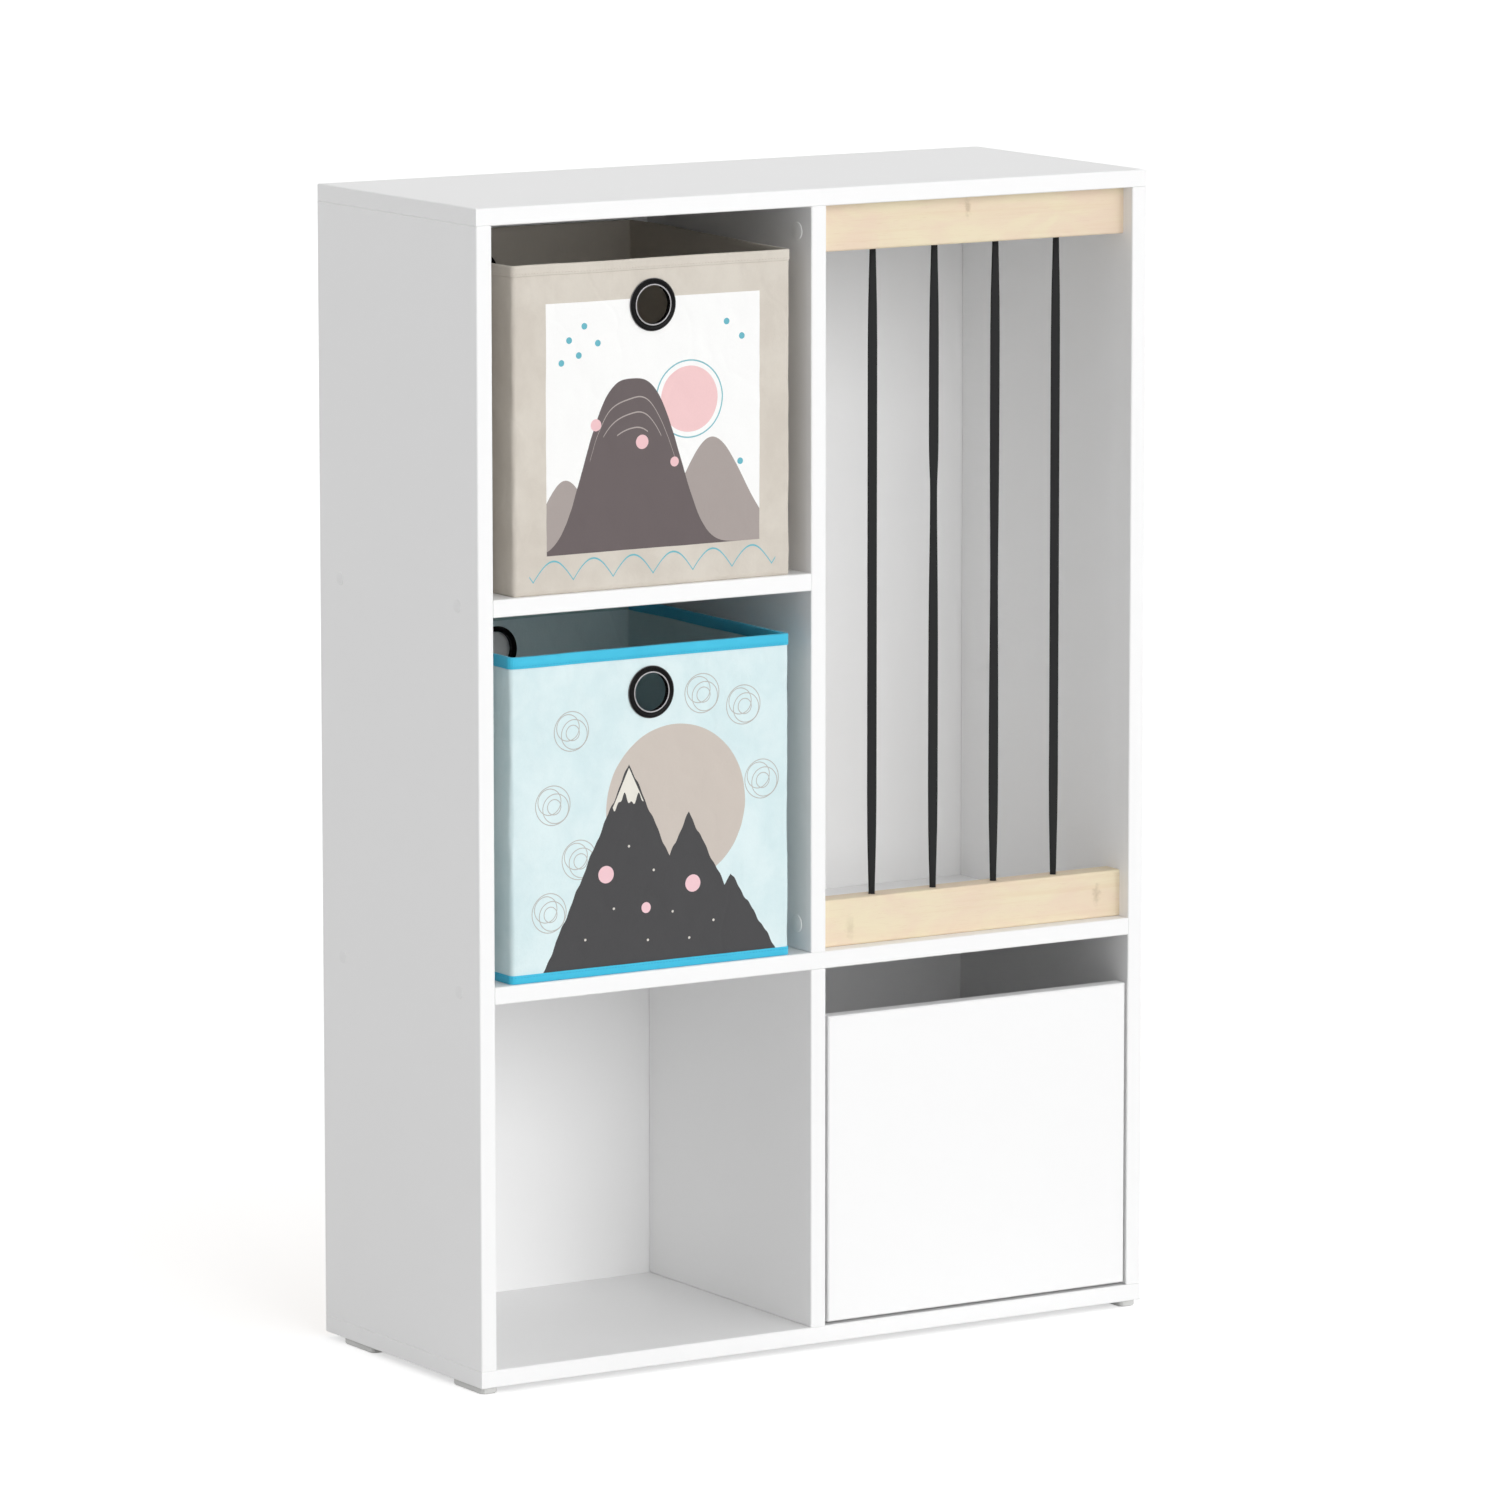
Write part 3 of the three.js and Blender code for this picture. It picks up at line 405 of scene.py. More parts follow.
# %% A builder for trees
class Grower(Net):
    """A Geometry Nodes tree that is run on a carrier mesh and leaves a plain mesh."""

    def __init__(self, name, **inputs):
        super().__init__(bpy.data.node_groups.new(name, "GeometryNodeTree"))
        face = self.tree.interface
        face.new_socket("Carrier", in_out="INPUT", socket_type="NodeSocketGeometry")
        self.sockets = {}
        for key, value in inputs.items():
            kind = "NodeSocketInt" if isinstance(value, int) else "NodeSocketFloat"
            socket = face.new_socket(key, in_out="INPUT", socket_type=kind)
            socket.default_value = value
            self.sockets[key] = socket.identifier
        face.new_socket("Finish", in_out="INPUT", socket_type="NodeSocketMaterial")
        self.sockets["Finish"] = face.items_tree["Finish"].identifier
        face.new_socket("Grown", in_out="OUTPUT", socket_type="NodeSocketGeometry")
        self.entry = self.add("NodeGroupInput")
        self.carrier = self.named("Carrier")

    def named(self, key):
        return Wire(self, self.entry.outputs[key])

    def join(self, **axes):
        return self.wire("ShaderNodeCombineXYZ", {}, axes)

    def aligned(self, axis, vector):
        """The rotation that turns this axis along the vector."""
        return self.wire("FunctionNodeAlignRotationToVector", {"axis": axis}, {"Vector": vector})

    def end(self, points, **instance):
        """Sets the instance at every point, makes it real and coats it."""
        copies = self.wire("GeometryNodeInstanceOnPoints", {}, {"Points": points, **instance})
        real = self.wire("GeometryNodeRealizeInstances", {}, {0: copies})
        coated = self.wire("GeometryNodeSetMaterial", {}, {0: real, "Material": self.named("Finish")})
        self.add("NodeGroupOutput", {}, {"Grown": coated})

    def grow(self, name, points, edges, finish, facing=None, sharp=None, **values):
        """Runs the tree on a carrier of points and edges, with an optional vector for each point."""
        mesh = bpy.data.meshes.new(name + "_carrier")
        mesh.from_pydata([tuple(p) for p in points], edges, [])
        if facing is not None:
            mesh.attributes.new("facing", "FLOAT_VECTOR", "POINT").data.foreach_set(
                "vector", np.array(facing, np.float32).ravel())
        holder = placed(name + "_carrier", mesh)
        modifier = holder.modifiers.new("grow", "NODES")
        modifier.node_group = self.tree
        for key, value in {**values, "Finish": finish.material}.items():
            modifier[self.sockets[key]] = value
        graph = bpy.context.evaluated_depsgraph_get()
        plain = bpy.data.meshes.new_from_object(
            holder.evaluated_get(graph), preserve_all_data_layers=True, depsgraph=graph)
        holder.modifiers.remove(modifier)
        bpy.data.objects.remove(holder)
        plain.name = name
        plain.shade_smooth()
        if sharp is not None:
            plain.set_sharp_from_angle(angle=math.radians(sharp))
        return placed(name, plain)


# %% [markdown]
# ## Cover discs
# Each shelf screw hides under a white push-in disc, and each cam lock under a larger one. A disc is a
# flat circle that is drawn out in three small steps, each a little narrower, which gives it a
# soft domed edge. The tree sets one at every carrier point, turned to that point's `facing`.

# %% Discs over screws and cam locks
disc_tree = Grower("cover_disc", Radius=0.006, Proud=0.0006, Sides=48)
disc = disc_tree.wire("GeometryNodeMeshCircle", {"fill_type": "NGON"}, {
    "Vertices": disc_tree.named("Sides"), "Radius": disc_tree.named("Radius")})
chosen = {}
for share, width in ((0.45, 1.0), (0.35, 0.975), (0.2, 0.93)):
    grown = disc_tree.add("GeometryNodeExtrudeMesh", {"mode": "FACES"}, {
        "Mesh": disc, "Offset Scale": disc_tree.named("Proud") * share, **chosen})
    chosen = {"Selection": Wire(disc_tree, grown.outputs["Top"])}
    disc = disc_tree.wire("GeometryNodeScaleElements", {"domain": "FACE"}, {
        "Geometry": Wire(disc_tree, grown.outputs["Mesh"]), "Scale": width, **chosen})
facing = disc_tree.wire(
    "GeometryNodeInputNamedAttribute", {"data_type": "FLOAT_VECTOR"}, {"Name": "facing"})
disc_tree.end(disc_tree.carrier, Instance=disc, Rotation=disc_tree.aligned("Z", facing))


def discs(name, nodes, radius, proud, finish):
    """One disc for each CAD node, on the face that its cover stands proud of."""
    points, facing = [], []
    for node in nodes:
        low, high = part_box(node)
        right = node.startswith("right")
        face_x = high.x - proud if right else low.x + proud
        points.append((face_x, (low.y + high.y) / 2, (low.z + high.z) / 2))
        facing.append((1 if right else -1, 0, 0))
    made = disc_tree.grow(name, points, [], finish, facing, 30, Radius=radius, Proud=proud)
    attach(made, "cabinet")
    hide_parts(*nodes)
    print(name, len(made.data.polygons), "faces at", [tuple(round(v, 4) for v in p) for p in points[:2]])


discs("screw_cover_discs", [
    f"{side}_{shelf}_shelf_{end}_screw"
    for side, shelf in (("left", "upper"), ("left", "middle"), ("right", "middle"))
    for end in ("front", "rear")], 6 * MM, 0.6 * MM, cover)
discs("cam_cover_discs", [
    f"divider_{end}_{place}_cam" for end in ("top", "bottom") for place in ("front", "rear")],
    8.2 * MM, 0.9 * MM, cam_cover)

# %% [markdown]
# ## Nails of the back sheet
# The thin back is nailed on all round, with small flat heads about 100 mm apart. The same disc tree
# does it, smaller and in zinc, with its discs turned to the rear.

# %% Nail heads
def rows_between(start, end, pitch):
    count = max(2, round(abs(end - start) / pitch) + 1)
    return np.linspace(start, end, count)


back_low, back_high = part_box("back_panel")
shelf_z = (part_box("middle_shelf")[0].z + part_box("middle_shelf")[1].z) / 2
NAIL_INSET, NAIL_PITCH = 0.0065, 0.1
left_x, right_x = back_low.x + NAIL_INSET, back_high.x - NAIL_INSET
foot_z, head_z = back_low.z + NAIL_INSET, back_high.z - NAIL_INSET
nails = [(x, back_high.y, z) for z in (foot_z, shelf_z, head_z)
         for x in rows_between(left_x, right_x, NAIL_PITCH)]
nails += [(x, back_high.y, z) for x in (left_x, 0.0, right_x)
          for z in rows_between(foot_z, head_z, NAIL_PITCH)[1:-1] if abs(z - shelf_z) > 0.03]
heads = disc_tree.grow("back_nail_heads", nails, [], zinc, [(0, 1, 0)] * len(nails), 30,
                       Radius=1.7 * MM, Proud=0.25 * MM, Sides=12)
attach(heads, "cabinet")
print("nail heads", len(nails))

# %% [markdown]
# ## Elastic straps
# Four black elastic bands close the soft-toy bay. Each leaves its hole as a folded, narrow neck and
# spreads to its full width over a hand's breadth. The band is woven with lengthwise ribs, so its
# section is a flat oval with small waves on it. The tree sweeps that section along a line, and two
# curves of share against height set the width and the thickness, knots at the ends included.

# %% The strap tree
strap_low, strap_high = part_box("elastic_strap_1")
STRAP_LENGTH = strap_high.z - strap_low.z
strap_tree = Grower("elastic_strap", Length=STRAP_LENGTH, Slimming=1.0, Ribs=7.0, Rib_depth=0.00012,
                    Pinch=0.0, Pinch_height=0.413, Pinch_above=0.026, Pinch_below=0.085,
                    Steps=260, Sides=84)


def curve_of(value, stops):
    """A float curve through stops of (share, value), straight between them."""
    node = value.net.add("ShaderNodeFloatCurve", {}, {"Value": value})
    points = node.mapping.curves[0].points
    while len(points) < len(stops):
        points.new(0.5, 0.5)
    for point, (share, height) in zip(points, stops):
        point.location, point.handle_type = (share, height), "VECTOR"
    node.mapping.update()
    return Wire(value.net, node.outputs[0])


def both_ways(stops):
    return stops + [(1 - share, height) for share, height in reversed(stops)]


def at(height_mm):
    return height_mm * MM / STRAP_LENGTH


# widths and thicknesses as shares of the largest, by the height above the strap's lower end, in mm
LARGEST, NECK_END, TAPER = 14, 44, 90
NECK_WIDTH, FULL_WIDTH, NECK_DEPTH, FULL_DEPTH = 6.2, 11.0, 3.6, 1.6
knot = (0, at(3), at(10.6), at(11.2))
width_stops = list(zip(knot, (0.4, 0.86, 0.86, 0.44)))
depth_stops = list(zip(knot, (0.36, 0.76, 0.76, 0.257)))
for t in (0, 0.15, 0.35, 0.6, 1):
    width = NECK_WIDTH + (FULL_WIDTH - NECK_WIDTH) * math.sin(t * math.pi / 2)
    depth = NECK_DEPTH - (NECK_DEPTH - FULL_DEPTH) * math.sqrt(t)
    width_stops.append((at(NECK_END + TAPER * t), width / LARGEST))
    depth_stops.append((at(NECK_END + TAPER * t), depth / LARGEST))

node, named = strap_tree.wire, strap_tree.named
line = node("GeometryNodeCurvePrimitiveLine", {}, {"End": strap_tree.join(Z=named("Length"))})
line = node("GeometryNodeResampleCurve", {}, {0: line, "Count": named("Steps")})
oval = node("GeometryNodeCurvePrimitiveCircle", {}, {"Resolution": named("Sides"), "Radius": 1.0})
swept = node("GeometryNodeCurveToMesh", {}, {"Curve": line, "Profile Curve": oval, "Fill Caps": True})
px, py, pz = strap_tree.split(node("GeometryNodeInputPosition"))
share = pz / named("Length")
wide = curve_of(share, both_ways(width_stops)) * (LARGEST / 2 * MM) * named("Slimming")
deep = curve_of(share, both_ways(depth_stops)) * (LARGEST / 2 * MM)
# a half turn pinches the band: suddenly above its middle, and slowly below
climb = pz - named("Pinch_height")
away = (climb / named("Pinch_above")).most(climb * -1.0 / named("Pinch_below"))
keep = 1.0 - (away * away * -1.0).exp() * named("Pinch")
# the flat section: the sine is flattened with a root, and ribs ride on it
flat = py.sign() * abs(py) ** 0.35
ribs = (px * named("Ribs") * math.pi).cos() * named("Rib_depth") * flat
swept = node("GeometryNodeSetPosition", {}, {
    "Geometry": swept, "Position": strap_tree.join(X=px * wide * keep, Y=flat * deep + ribs, Z=pz)})
strap_tree.end(strap_tree.carrier, Instance=swept)
print("strap tree", len(strap_tree.tree.nodes), "nodes")

# %% [markdown]
# The elastic itself is matt black polyester over rubber. Cross yarns give it a fine ladder between the
# ribs, and a little sheen lifts its edges against the white bay.

# %% Elastic finish and the four straps
elastic = Finish("black_elastic", srgb(22, 22, 23), 0.75,
                 Sheen_Weight=0.05, Sheen_Roughness=0.4, Specular_IOR_Level=0.3)
ladder = (elastic.z * 7000.0).sin() * 0.5 + 0.5
fuzz = elastic.noise(2200.0, 2.0)
elastic.set(
    Base_Color=elastic.blend(fuzz * 0.6 + ladder * 0.4, srgb(14, 14, 15), srgb(30, 30, 31)),
    Roughness=0.65 + fuzz * 0.25)
elastic.bump(ladder * 0.6 + fuzz * 0.4, 0.0001)

for number, slimming, pinch in (
        (1, 0.915, {}), (2, 0.94, {"Pinch": 0.28}),
        (3, 0.93, {"Pinch": 0.17, "Pinch_height": 0.327, "Pinch_above": 0.075}), (4, 0.89, {})):
    low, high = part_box(f"elastic_strap_{number}")
    foot = ((low.x + high.x) / 2, (low.y + high.y) / 2, low.z)
    strap = strap_tree.grow(f"elastic_band_{number}", [foot], [], elastic, None, 50,
                            Slimming=slimming, **pinch)
    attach(strap, "cabinet")
    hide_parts(f"elastic_strap_{number}")
print("straps", len(strap.data.polygons), "faces each, length", round(STRAP_LENGTH, 4))

# %% [markdown]
# ## Fabric boxes: the cloth's shape
# Each box is a sewn shell of stiff non-woven cloth. Its walls are not flat: they bow a little between the
# corners, crease where they were folded for shipping, and pucker round the eyelets. The shell is
# built from rings of points that climb the outside, turn over the rim and go down the inside, so the
# wall has a real thickness. One function, `slack`, says how far the cloth stands off its plane, and
# the same slack moves the outside, the inside, the tape and the stitches, so they stay together.

# %% The outline of a box and the slack of its cloth
CORNER_RADIUS, RING_STEP, CLOTH_WALL, EYELET_HOLE = 3.6, 3.6, 2.5, 20.4


def smooth(low, high, value):
    t = min(1.0, max(0.0, (value - low) / (high - low)))
    return t * t * (3 - 2 * t)


class Cloth:
    """The walls of one box, in millimetres from the middle of its base, which is at centre in the
    frame. Distances round it run from the middle of the rear, by the left, to the front middle
    at 0, and on by the right."""

    def __init__(self, centre, width, depth, height, eyelets, seed, bow, rear_climb=0.0):
        self.centre, self.half, self.height = centre, (width / 2, depth / 2), height
        self.eyelets, self.seed, self.bow, self.rear_climb = eyelets, seed, bow, rear_climb
        r, quarter = CORNER_RADIUS, math.pi / 2
        x, y = width / 2 - r, depth / 2 - r
        spots = []

        def straight(start, end, normal):
            start, end = Vector(start), Vector(end)
            count = max(1, round((end - start).length / RING_STEP))
            spots.extend((start.lerp(end, k / count), Vector(normal)) for k in range(count))

        def corner(middle, first):
            for k in range(4):
                angle = first + k / 4 * math.pi / 2
                out = Vector((math.cos(angle), math.sin(angle)))
                spots.append((Vector(middle) + out * r, out))

        straight((0, y + r), (-x, y + r), (0, 1))
        corner((-x, y), quarter)
        straight((-x - r, y), (-x - r, -y), (-1, 0))
        corner((-x, -y), 2 * quarter)
        straight((-x, -y - r), (x, -y - r), (0, -1))
        corner((x, -y), 3 * quarter)
        straight((x + r, -y), (x + r, y), (1, 0))
        corner((x, y), 0.0)
        straight((x, y + r), (0, y + r), (0, 1))
        self.spots = [spot for spot, _ in spots]
        self.normals = [out for _, out in spots]
        steps = [(self.spots[(i + 1) % len(spots)] - spot).length for i, spot in enumerate(self.spots)]
        self.along = [sum(steps[:i]) - sum(steps) / 2 for i in range(len(spots))]
        self.alongs = [a * MM for a in self.along] + [sum(steps) / 2 * MM]
        self.count = len(spots)

    def eyelet(self, normal):
        """The middle of the eyelet on the wall that faces this way, as (x, z)."""
        return self.eyelets["front" if normal.y < 0 else "rear"]

    def slack(self, spot, normal, z):
        """How far the cloth stands off its plane at a spot, in millimetres."""
        # a wall bows between its corners, most a little below the middle of its height
        front, rear = normal.y < -0.9, normal.y > 0.9
        share = z / self.height
        across = spot.x / self.half[0] if abs(normal.y) > 0.7 else spot.y / self.half[1]
        bow = self.bow["front" if front else "rear" if rear else "left" if normal.x < 0 else "right"]
        off = bow * (1 - across ** 2) * 4 * share * (1 - share) * (1.3 - 0.6 * share)
        # folds and smaller crumples cross it
        p = Vector((spot.x * 0.011, spot.y * 0.011, z * 0.009)) + Vector((self.seed * 7.3, 0, 0))
        q = Vector((spot.x * 0.03 + z * 0.01, spot.y * 0.03, z * 0.024)) + Vector((0, self.seed * 3.1, 0))
        fold = abs(noise.noise(p + Vector((0, 0, noise.noise(q) * 0.35))))
        crumple = abs(noise.noise(q * 1.7 + Vector((4, 1, 2))))
        off += (0.32 - fold) * 1.9 + (0.25 - crumple) * 0.9
        # the corners are stiffer, and wander a little with the height
        edge_near = smooth(0.86, 1.0, abs(across))
        off *= 1 - 0.45 * edge_near
        off += edge_near * 0.7 * noise.noise(Vector((self.seed + normal.x, normal.y, z * 0.03)))
        # an eyelet holds it flat, with seven small puckers round the flange
        if front or rear:
            middle_x, middle_z = self.eyelet(normal)
            dx, dz = spot.x - middle_x, z - middle_z
            away = math.hypot(dx, dz)
            calm = smooth(23, 62, away)
            pucker = 0.55 * math.cos(7 * math.atan2(dz, dx) + self.seed)
            pucker *= math.exp(-max(0, away - 24) / 14)
            off = off * calm + pucker * smooth(22.5, 30, away)
        # the base and the rim hold it too
        off *= smooth(0, 16, z) * (1 - 0.55 * smooth(self.height - 30, self.height - 6, z))
        return max(-2.2, min(2.4 if not rear else 1.0, off))

    def rise(self, spot, along_wall, z):
        """The rim is never quite level: it waves by part of a millimetre, and may climb to the rear."""
        wave = noise.noise(Vector((along_wall * 0.013, self.seed * 2.7, 0))) * 0.9
        climb = self.rear_climb * smooth(-self.half[1], self.half[1], spot.y)
        return (wave - 0.25 + climb) * smooth(self.height - 60, self.height, z)

    def ring(self, offset, z, climb=None):
        """A ring of points at one height, off the wall's plane by offset."""
        made = []
        for spot, normal, along_wall in zip(self.spots, self.normals, self.along):
            off = offset + self.slack(spot, normal, z if climb is None else climb)
            made.append(Vector((spot.x + normal.x * off, spot.y + normal.y * off,
                                z + self.rise(spot, along_wall, z))))
        return made


print("smooth(0, 1, 0.5) is", smooth(0, 1, 0.5))

# %% [markdown]
# The shell is then lofted, as faces between the rings. Where an eyelet goes through, the faces inside its
# circle are left out, the ragged edge is drawn onto the circle, and the outside is joined to the inside.
# The UV map is measured in metres along the cloth, with 2 added on the inside, so that a print can stay
# on the outside only and the weave never stretches.

# %% Lofting a shell
def loft(rings, alongs, heights):
    """Faces between closed rings, with UVs in metres. Returns points, faces and corner UVs."""
    count = len(rings[0])
    points = [p for ring in rings for p in ring]
    faces, uv = [], []
    for r in range(len(rings) - 1):
        for i in range(count):
            j = (i + 1) % count
            faces.append((r * count + i, r * count + j, (r + 1) * count + j, (r + 1) * count + i))
            left, right, low, high = *alongs[i:i + 2], *heights[r:r + 2]
            uv.append([(left, low), (right, low), (right, high), (left, high)])
    return points, faces, uv


def box_shell(cloth, hem):
    """Points in the frame, faces and UVs of one box's cloth. hem is how far the rim's turned band
    stands out and how high it is. The plan holds (offset, height, height of the slack) of each ring."""
    wall, top, count = CLOTH_WALL, cloth.height, cloth.count
    grow, hem_height = hem
    rows = list(np.linspace(1.2, top - hem_height - 0.6, 74))
    plan = [(-9.0, 0.0, 0.0), (-1.2, 0.0, 0.0)]
    outside_from = len(plan)
    plan += [(0.0, z, z) for z in rows]
    if grow:
        plan += [(0.0, top - hem_height - 0.2, None), (grow * 0.8, top - hem_height, None),
                 (grow, top - hem_height + 0.7, None)]
        plan += [(grow, z, None) for z in np.linspace(top - hem_height + 3, top - 2.2, 3)]
    else:
        plan += [(0.0, z, None) for z in np.linspace(top - hem_height, top - 1.5, 3)]
    plan += [(grow, top - 0.9, None), (grow - 0.6, top - 0.15, None), (-1.25, top, None),
             (-wall + 0.5, top - 0.15, None), (-wall, top - 0.9, None)]
    inside_from = len(plan)
    plan += [(-wall, top - hem_height * 0.5, None)]
    inside_rows = [z for z in rows if z > 4][::-1]
    plan += [(-wall, z, z) for z in inside_rows]
    plan += [(-wall, 2.6, 2.6), (-wall - 1.0, 2.5, 0.0), (-wall - 12.0, 2.5, 0.0)]
    rings = [cloth.ring(*ring) for ring in plan]
    inner_row = {z: inside_from + 1 + k for k, z in enumerate(inside_rows)}
    paired = {r: inner_row[z] for r, z in enumerate(rows, outside_from) if z in inner_row}
    gone = set()
    for r, (z, upper) in enumerate(zip(rows, rows[1:]), outside_from):
        for i in range(count):
            j = (i + 1) % count
            if abs(cloth.normals[i].y) < 0.99 or abs(cloth.normals[j].y) < 0.99:
                continue
            middle_x, middle_z = cloth.eyelet(cloth.normals[i])
            across = (cloth.spots[i].x + cloth.spots[j].x) / 2 - middle_x
            if math.hypot(across, (z + upper) / 2 - middle_z) < EYELET_HOLE - 0.6:
                gone.add((r, i))
    ragged = set()
    for r, i in gone:
        for row, col in ((r, i), (r, (i + 1) % count), (r + 1, i), (r + 1, (i + 1) % count)):
            around = [(row, col), (row - 1, col), (row, (col - 1) % count), (row - 1, (col - 1) % count)]
            if any(cell not in gone for cell in around):
                ragged.add((row, col))
    for row, col in ragged:
        for layer, side in ((row, 0.0), (paired[row], -wall)):
            spot, z, out = cloth.spots[col], plan[row][1], cloth.normals[col]
            middle = Vector(cloth.eyelet(out))
            edge = middle + (Vector((spot.x, z)) - middle).normalized() * EYELET_HOLE
            y = spot.y + out.y * (side + cloth.slack(Vector((edge.x, spot.y)), out, edge.y))
            rings[layer][col] = Vector((edge.x, y, edge.y))
    heights = [z * MM for _, z, _ in plan[:inside_from]] + [2 + z * MM for _, z, _ in plan[inside_from:]]
    heights[0], heights[1] = -0.012, -0.004
    heights[-1], heights[-2] = 1.98, 1.99
    points, faces, uv = loft(rings, cloth.alongs, heights)
    cut = gone | {(paired[r + 1], i) for r, i in gone}
    kept = [k for k in range(len(faces)) if divmod(k, count) not in cut]
    faces, uv = [faces[k] for k in kept], [uv[k] for k in kept]
    for r, i in gone:
        j = (i + 1) % count
        sides = [((r - 1, i), (r, i), (r, j)), ((r + 1, i), (r + 1, j), (r + 1, i)),
                 ((r, (i - 1) % count), (r + 1, i), (r, i)), ((r, j), (r, j), (r + 1, j))]
        for cell, a, b in sides:
            if cell not in gone:
                quad = [a, b, (paired[b[0]], b[1]), (paired[a[0]], a[1])]
                faces.append(tuple(row * count + col for row, col in quad))
                uv.append([(cloth.alongs[i], 1.9)] * 4)
    last = (len(rings) - 1) * count
    faces += [tuple(range(count))[::-1], tuple(last + i for i in range(count))]
    uv += [[(0.0, -0.02)] * count, [(0.0, 1.97)] * count]
    return [p * MM + cloth.centre for p in points], faces, uv


# %% [markdown]
# ## Prints on the boxes
# The front of each box carries a printed picture. These are plain landscapes of our own: rounded hills
# under a pale sun on the beige box, and charcoal peaks before a beige moon on the aqua one, with small
# marks round them. A shape is a mask of ones and zeros made from the two UV distances, and the
# colours are laid over each other in order, as a screen printer would.

# %% Cloth finish and drawing helpers
HALF_FRONT = 0.144


class Print(Finish):
    """A cloth finish with a print laid on its outer front."""

    def __init__(self, name, light, crumple_hollow_shade, inside):
        super().__init__(name, light, 0.85)
        self.u, self.v, _ = self.metres()
        outside = self.v < 1.0
        self.front = outside * (abs(self.u) < HALF_FRONT)
        self.crumple = self.noise((26.0, 26.0, 22.0), 6.0, 0.62, bend=0.15)
        crease = abs(self.noise((13.0, 13.0, 9.0), 2.0, 0.45, shift=(3, 1, 2), bend=0.2) - 0.5)
        self.fibres = self.noise((850.0, 850.0, 500.0), 3.0, 0.7)
        self.weave = ((self.u * 5200.0).sin() * (self.v * 5200.0).sin()) * 0.5 + 0.5
        self.fold = crease.ramp(0.0, 0.035, 1.0, 0.0)
        # Painted shade: the cloth turns to the darker tone where the crumple noise is low, where its bump
        # sinks, so the hollows of the crumples carry painted shade.
        ground = self.blend(self.crumple.ramp(0.3, 0.7), crumple_hollow_shade, light)
        self.layers = self.blend(outside, inside, ground)

    def lay(self, mask, colour):
        self.layers = self.blend(mask * self.front, self.layers, colour)

    def square(self, u, v):
        """The square of the distance from (u, v)."""
        du, dv = self.u - u * MM, self.v - v * MM
        return du * du + dv * dv

    def disc(self, u, v, radius):
        return self.square(u, v) < (radius * MM) ** 2

    def hoop(self, u, v, radius, line):
        return abs(self.square(u, v).root() - radius * MM) < line * MM / 2

    def hump(self, u, width, power=2.0):
        """A smooth bump of height 1 round u, as a wire."""
        t = abs(self.u - u * MM) / (width * MM)
        return (t ** power * -1).exp()

    def peak(self, u, slope):
        """A straight-sided peak of height 0 at u, falling by slope."""
        return abs(self.u - u * MM) * -slope

    def press(self):
        """Finishes the cloth: fibres in the tone, weave, folds and crumple in the relief."""
        self.set(
            Base_Color=self.blend(self.fibres * 0.08, self.layers, srgb(150, 146, 142)),
            Roughness=0.78 + self.fibres * 0.18)
        relief = self.crumple * 0.62 + self.fold * -0.12 + self.weave * 0.05 + self.fibres * 0.09
        self.bump(relief, 0.0016)


def sine(wire, pitch, phase=0.0):
    return (wire * (2 * math.pi / (pitch * MM)) + phase).sin()


# %% [markdown]
# ### The beige box
# A white panel sits in the middle of the front. In it, a warm pink sun stands behind two grey-brown hills
# with pale contour lines, and a few teal drops and a teal wave frame the scene.

# %% Print of the upper box
hills = Print("beige_cloth", srgb(220, 213, 202), srgb(211, 203, 192), srgb(216, 209, 198))
panel = hills.u.between(-0.112, 0.113) * hills.v.between(0.035, 0.262)
hills.lay(panel, srgb(254, 254, 253))
hills.lay(panel * hills.disc(38, 168, 30), srgb(246, 205, 206))
hills.lay(panel * hills.hoop(38, 168, 35, 1.3), srgb(128, 190, 200))
swell = abs(hills.v - 0.012 - abs(sine(hills.u, 84)) * 0.018) < 0.0008
hills.lay(swell * hills.u.between(-0.130, 0.130), srgb(110, 186, 200))
far = 0.035 + hills.hump(62, 46) * 0.097 + hills.hump(-92, 34) * 0.067
hills.lay(panel * (hills.v < far), srgb(170, 160, 156))
near = 0.035 + hills.hump(-22, 58, 3.0) * 0.155
hills.lay(panel * (hills.v < near), srgb(101, 91, 92))
for drop, lift in ((0.018, 0.0), (0.032, 0.3), (0.046, 0.7)):
    contour = abs(hills.v - near + drop + sine(hills.u, 46, lift) * 0.0016) < 0.0006
    hills.lay(panel * contour * (abs(hills.u + 0.022) < 0.062 - drop), srgb(176, 166, 162))
for u, v in ((-88, 228), (-72, 240), (-58, 224), (-96, 208), (-78, 214), (92, 108), (78, 236), (94, 222)):
    hills.lay(panel * hills.disc(u, v, 3.0), srgb(104, 184, 200))
for u, v, r in ((-60, 150, 5.5), (-12, 132, 6.5), (22, 112, 4.5)):
    hills.lay(panel * hills.disc(u, v, r), srgb(244, 200, 204))
hills.press()
print("beige print", len(hills.tree.nodes), "nodes")

# %% [markdown]
# ### The aqua box
# Charcoal peaks with a broken snow line stand before a large beige moon. Loose grey hoops, like the rings
# left by a wet cup, fill the pale ground beside them, and three pink dots warm it.

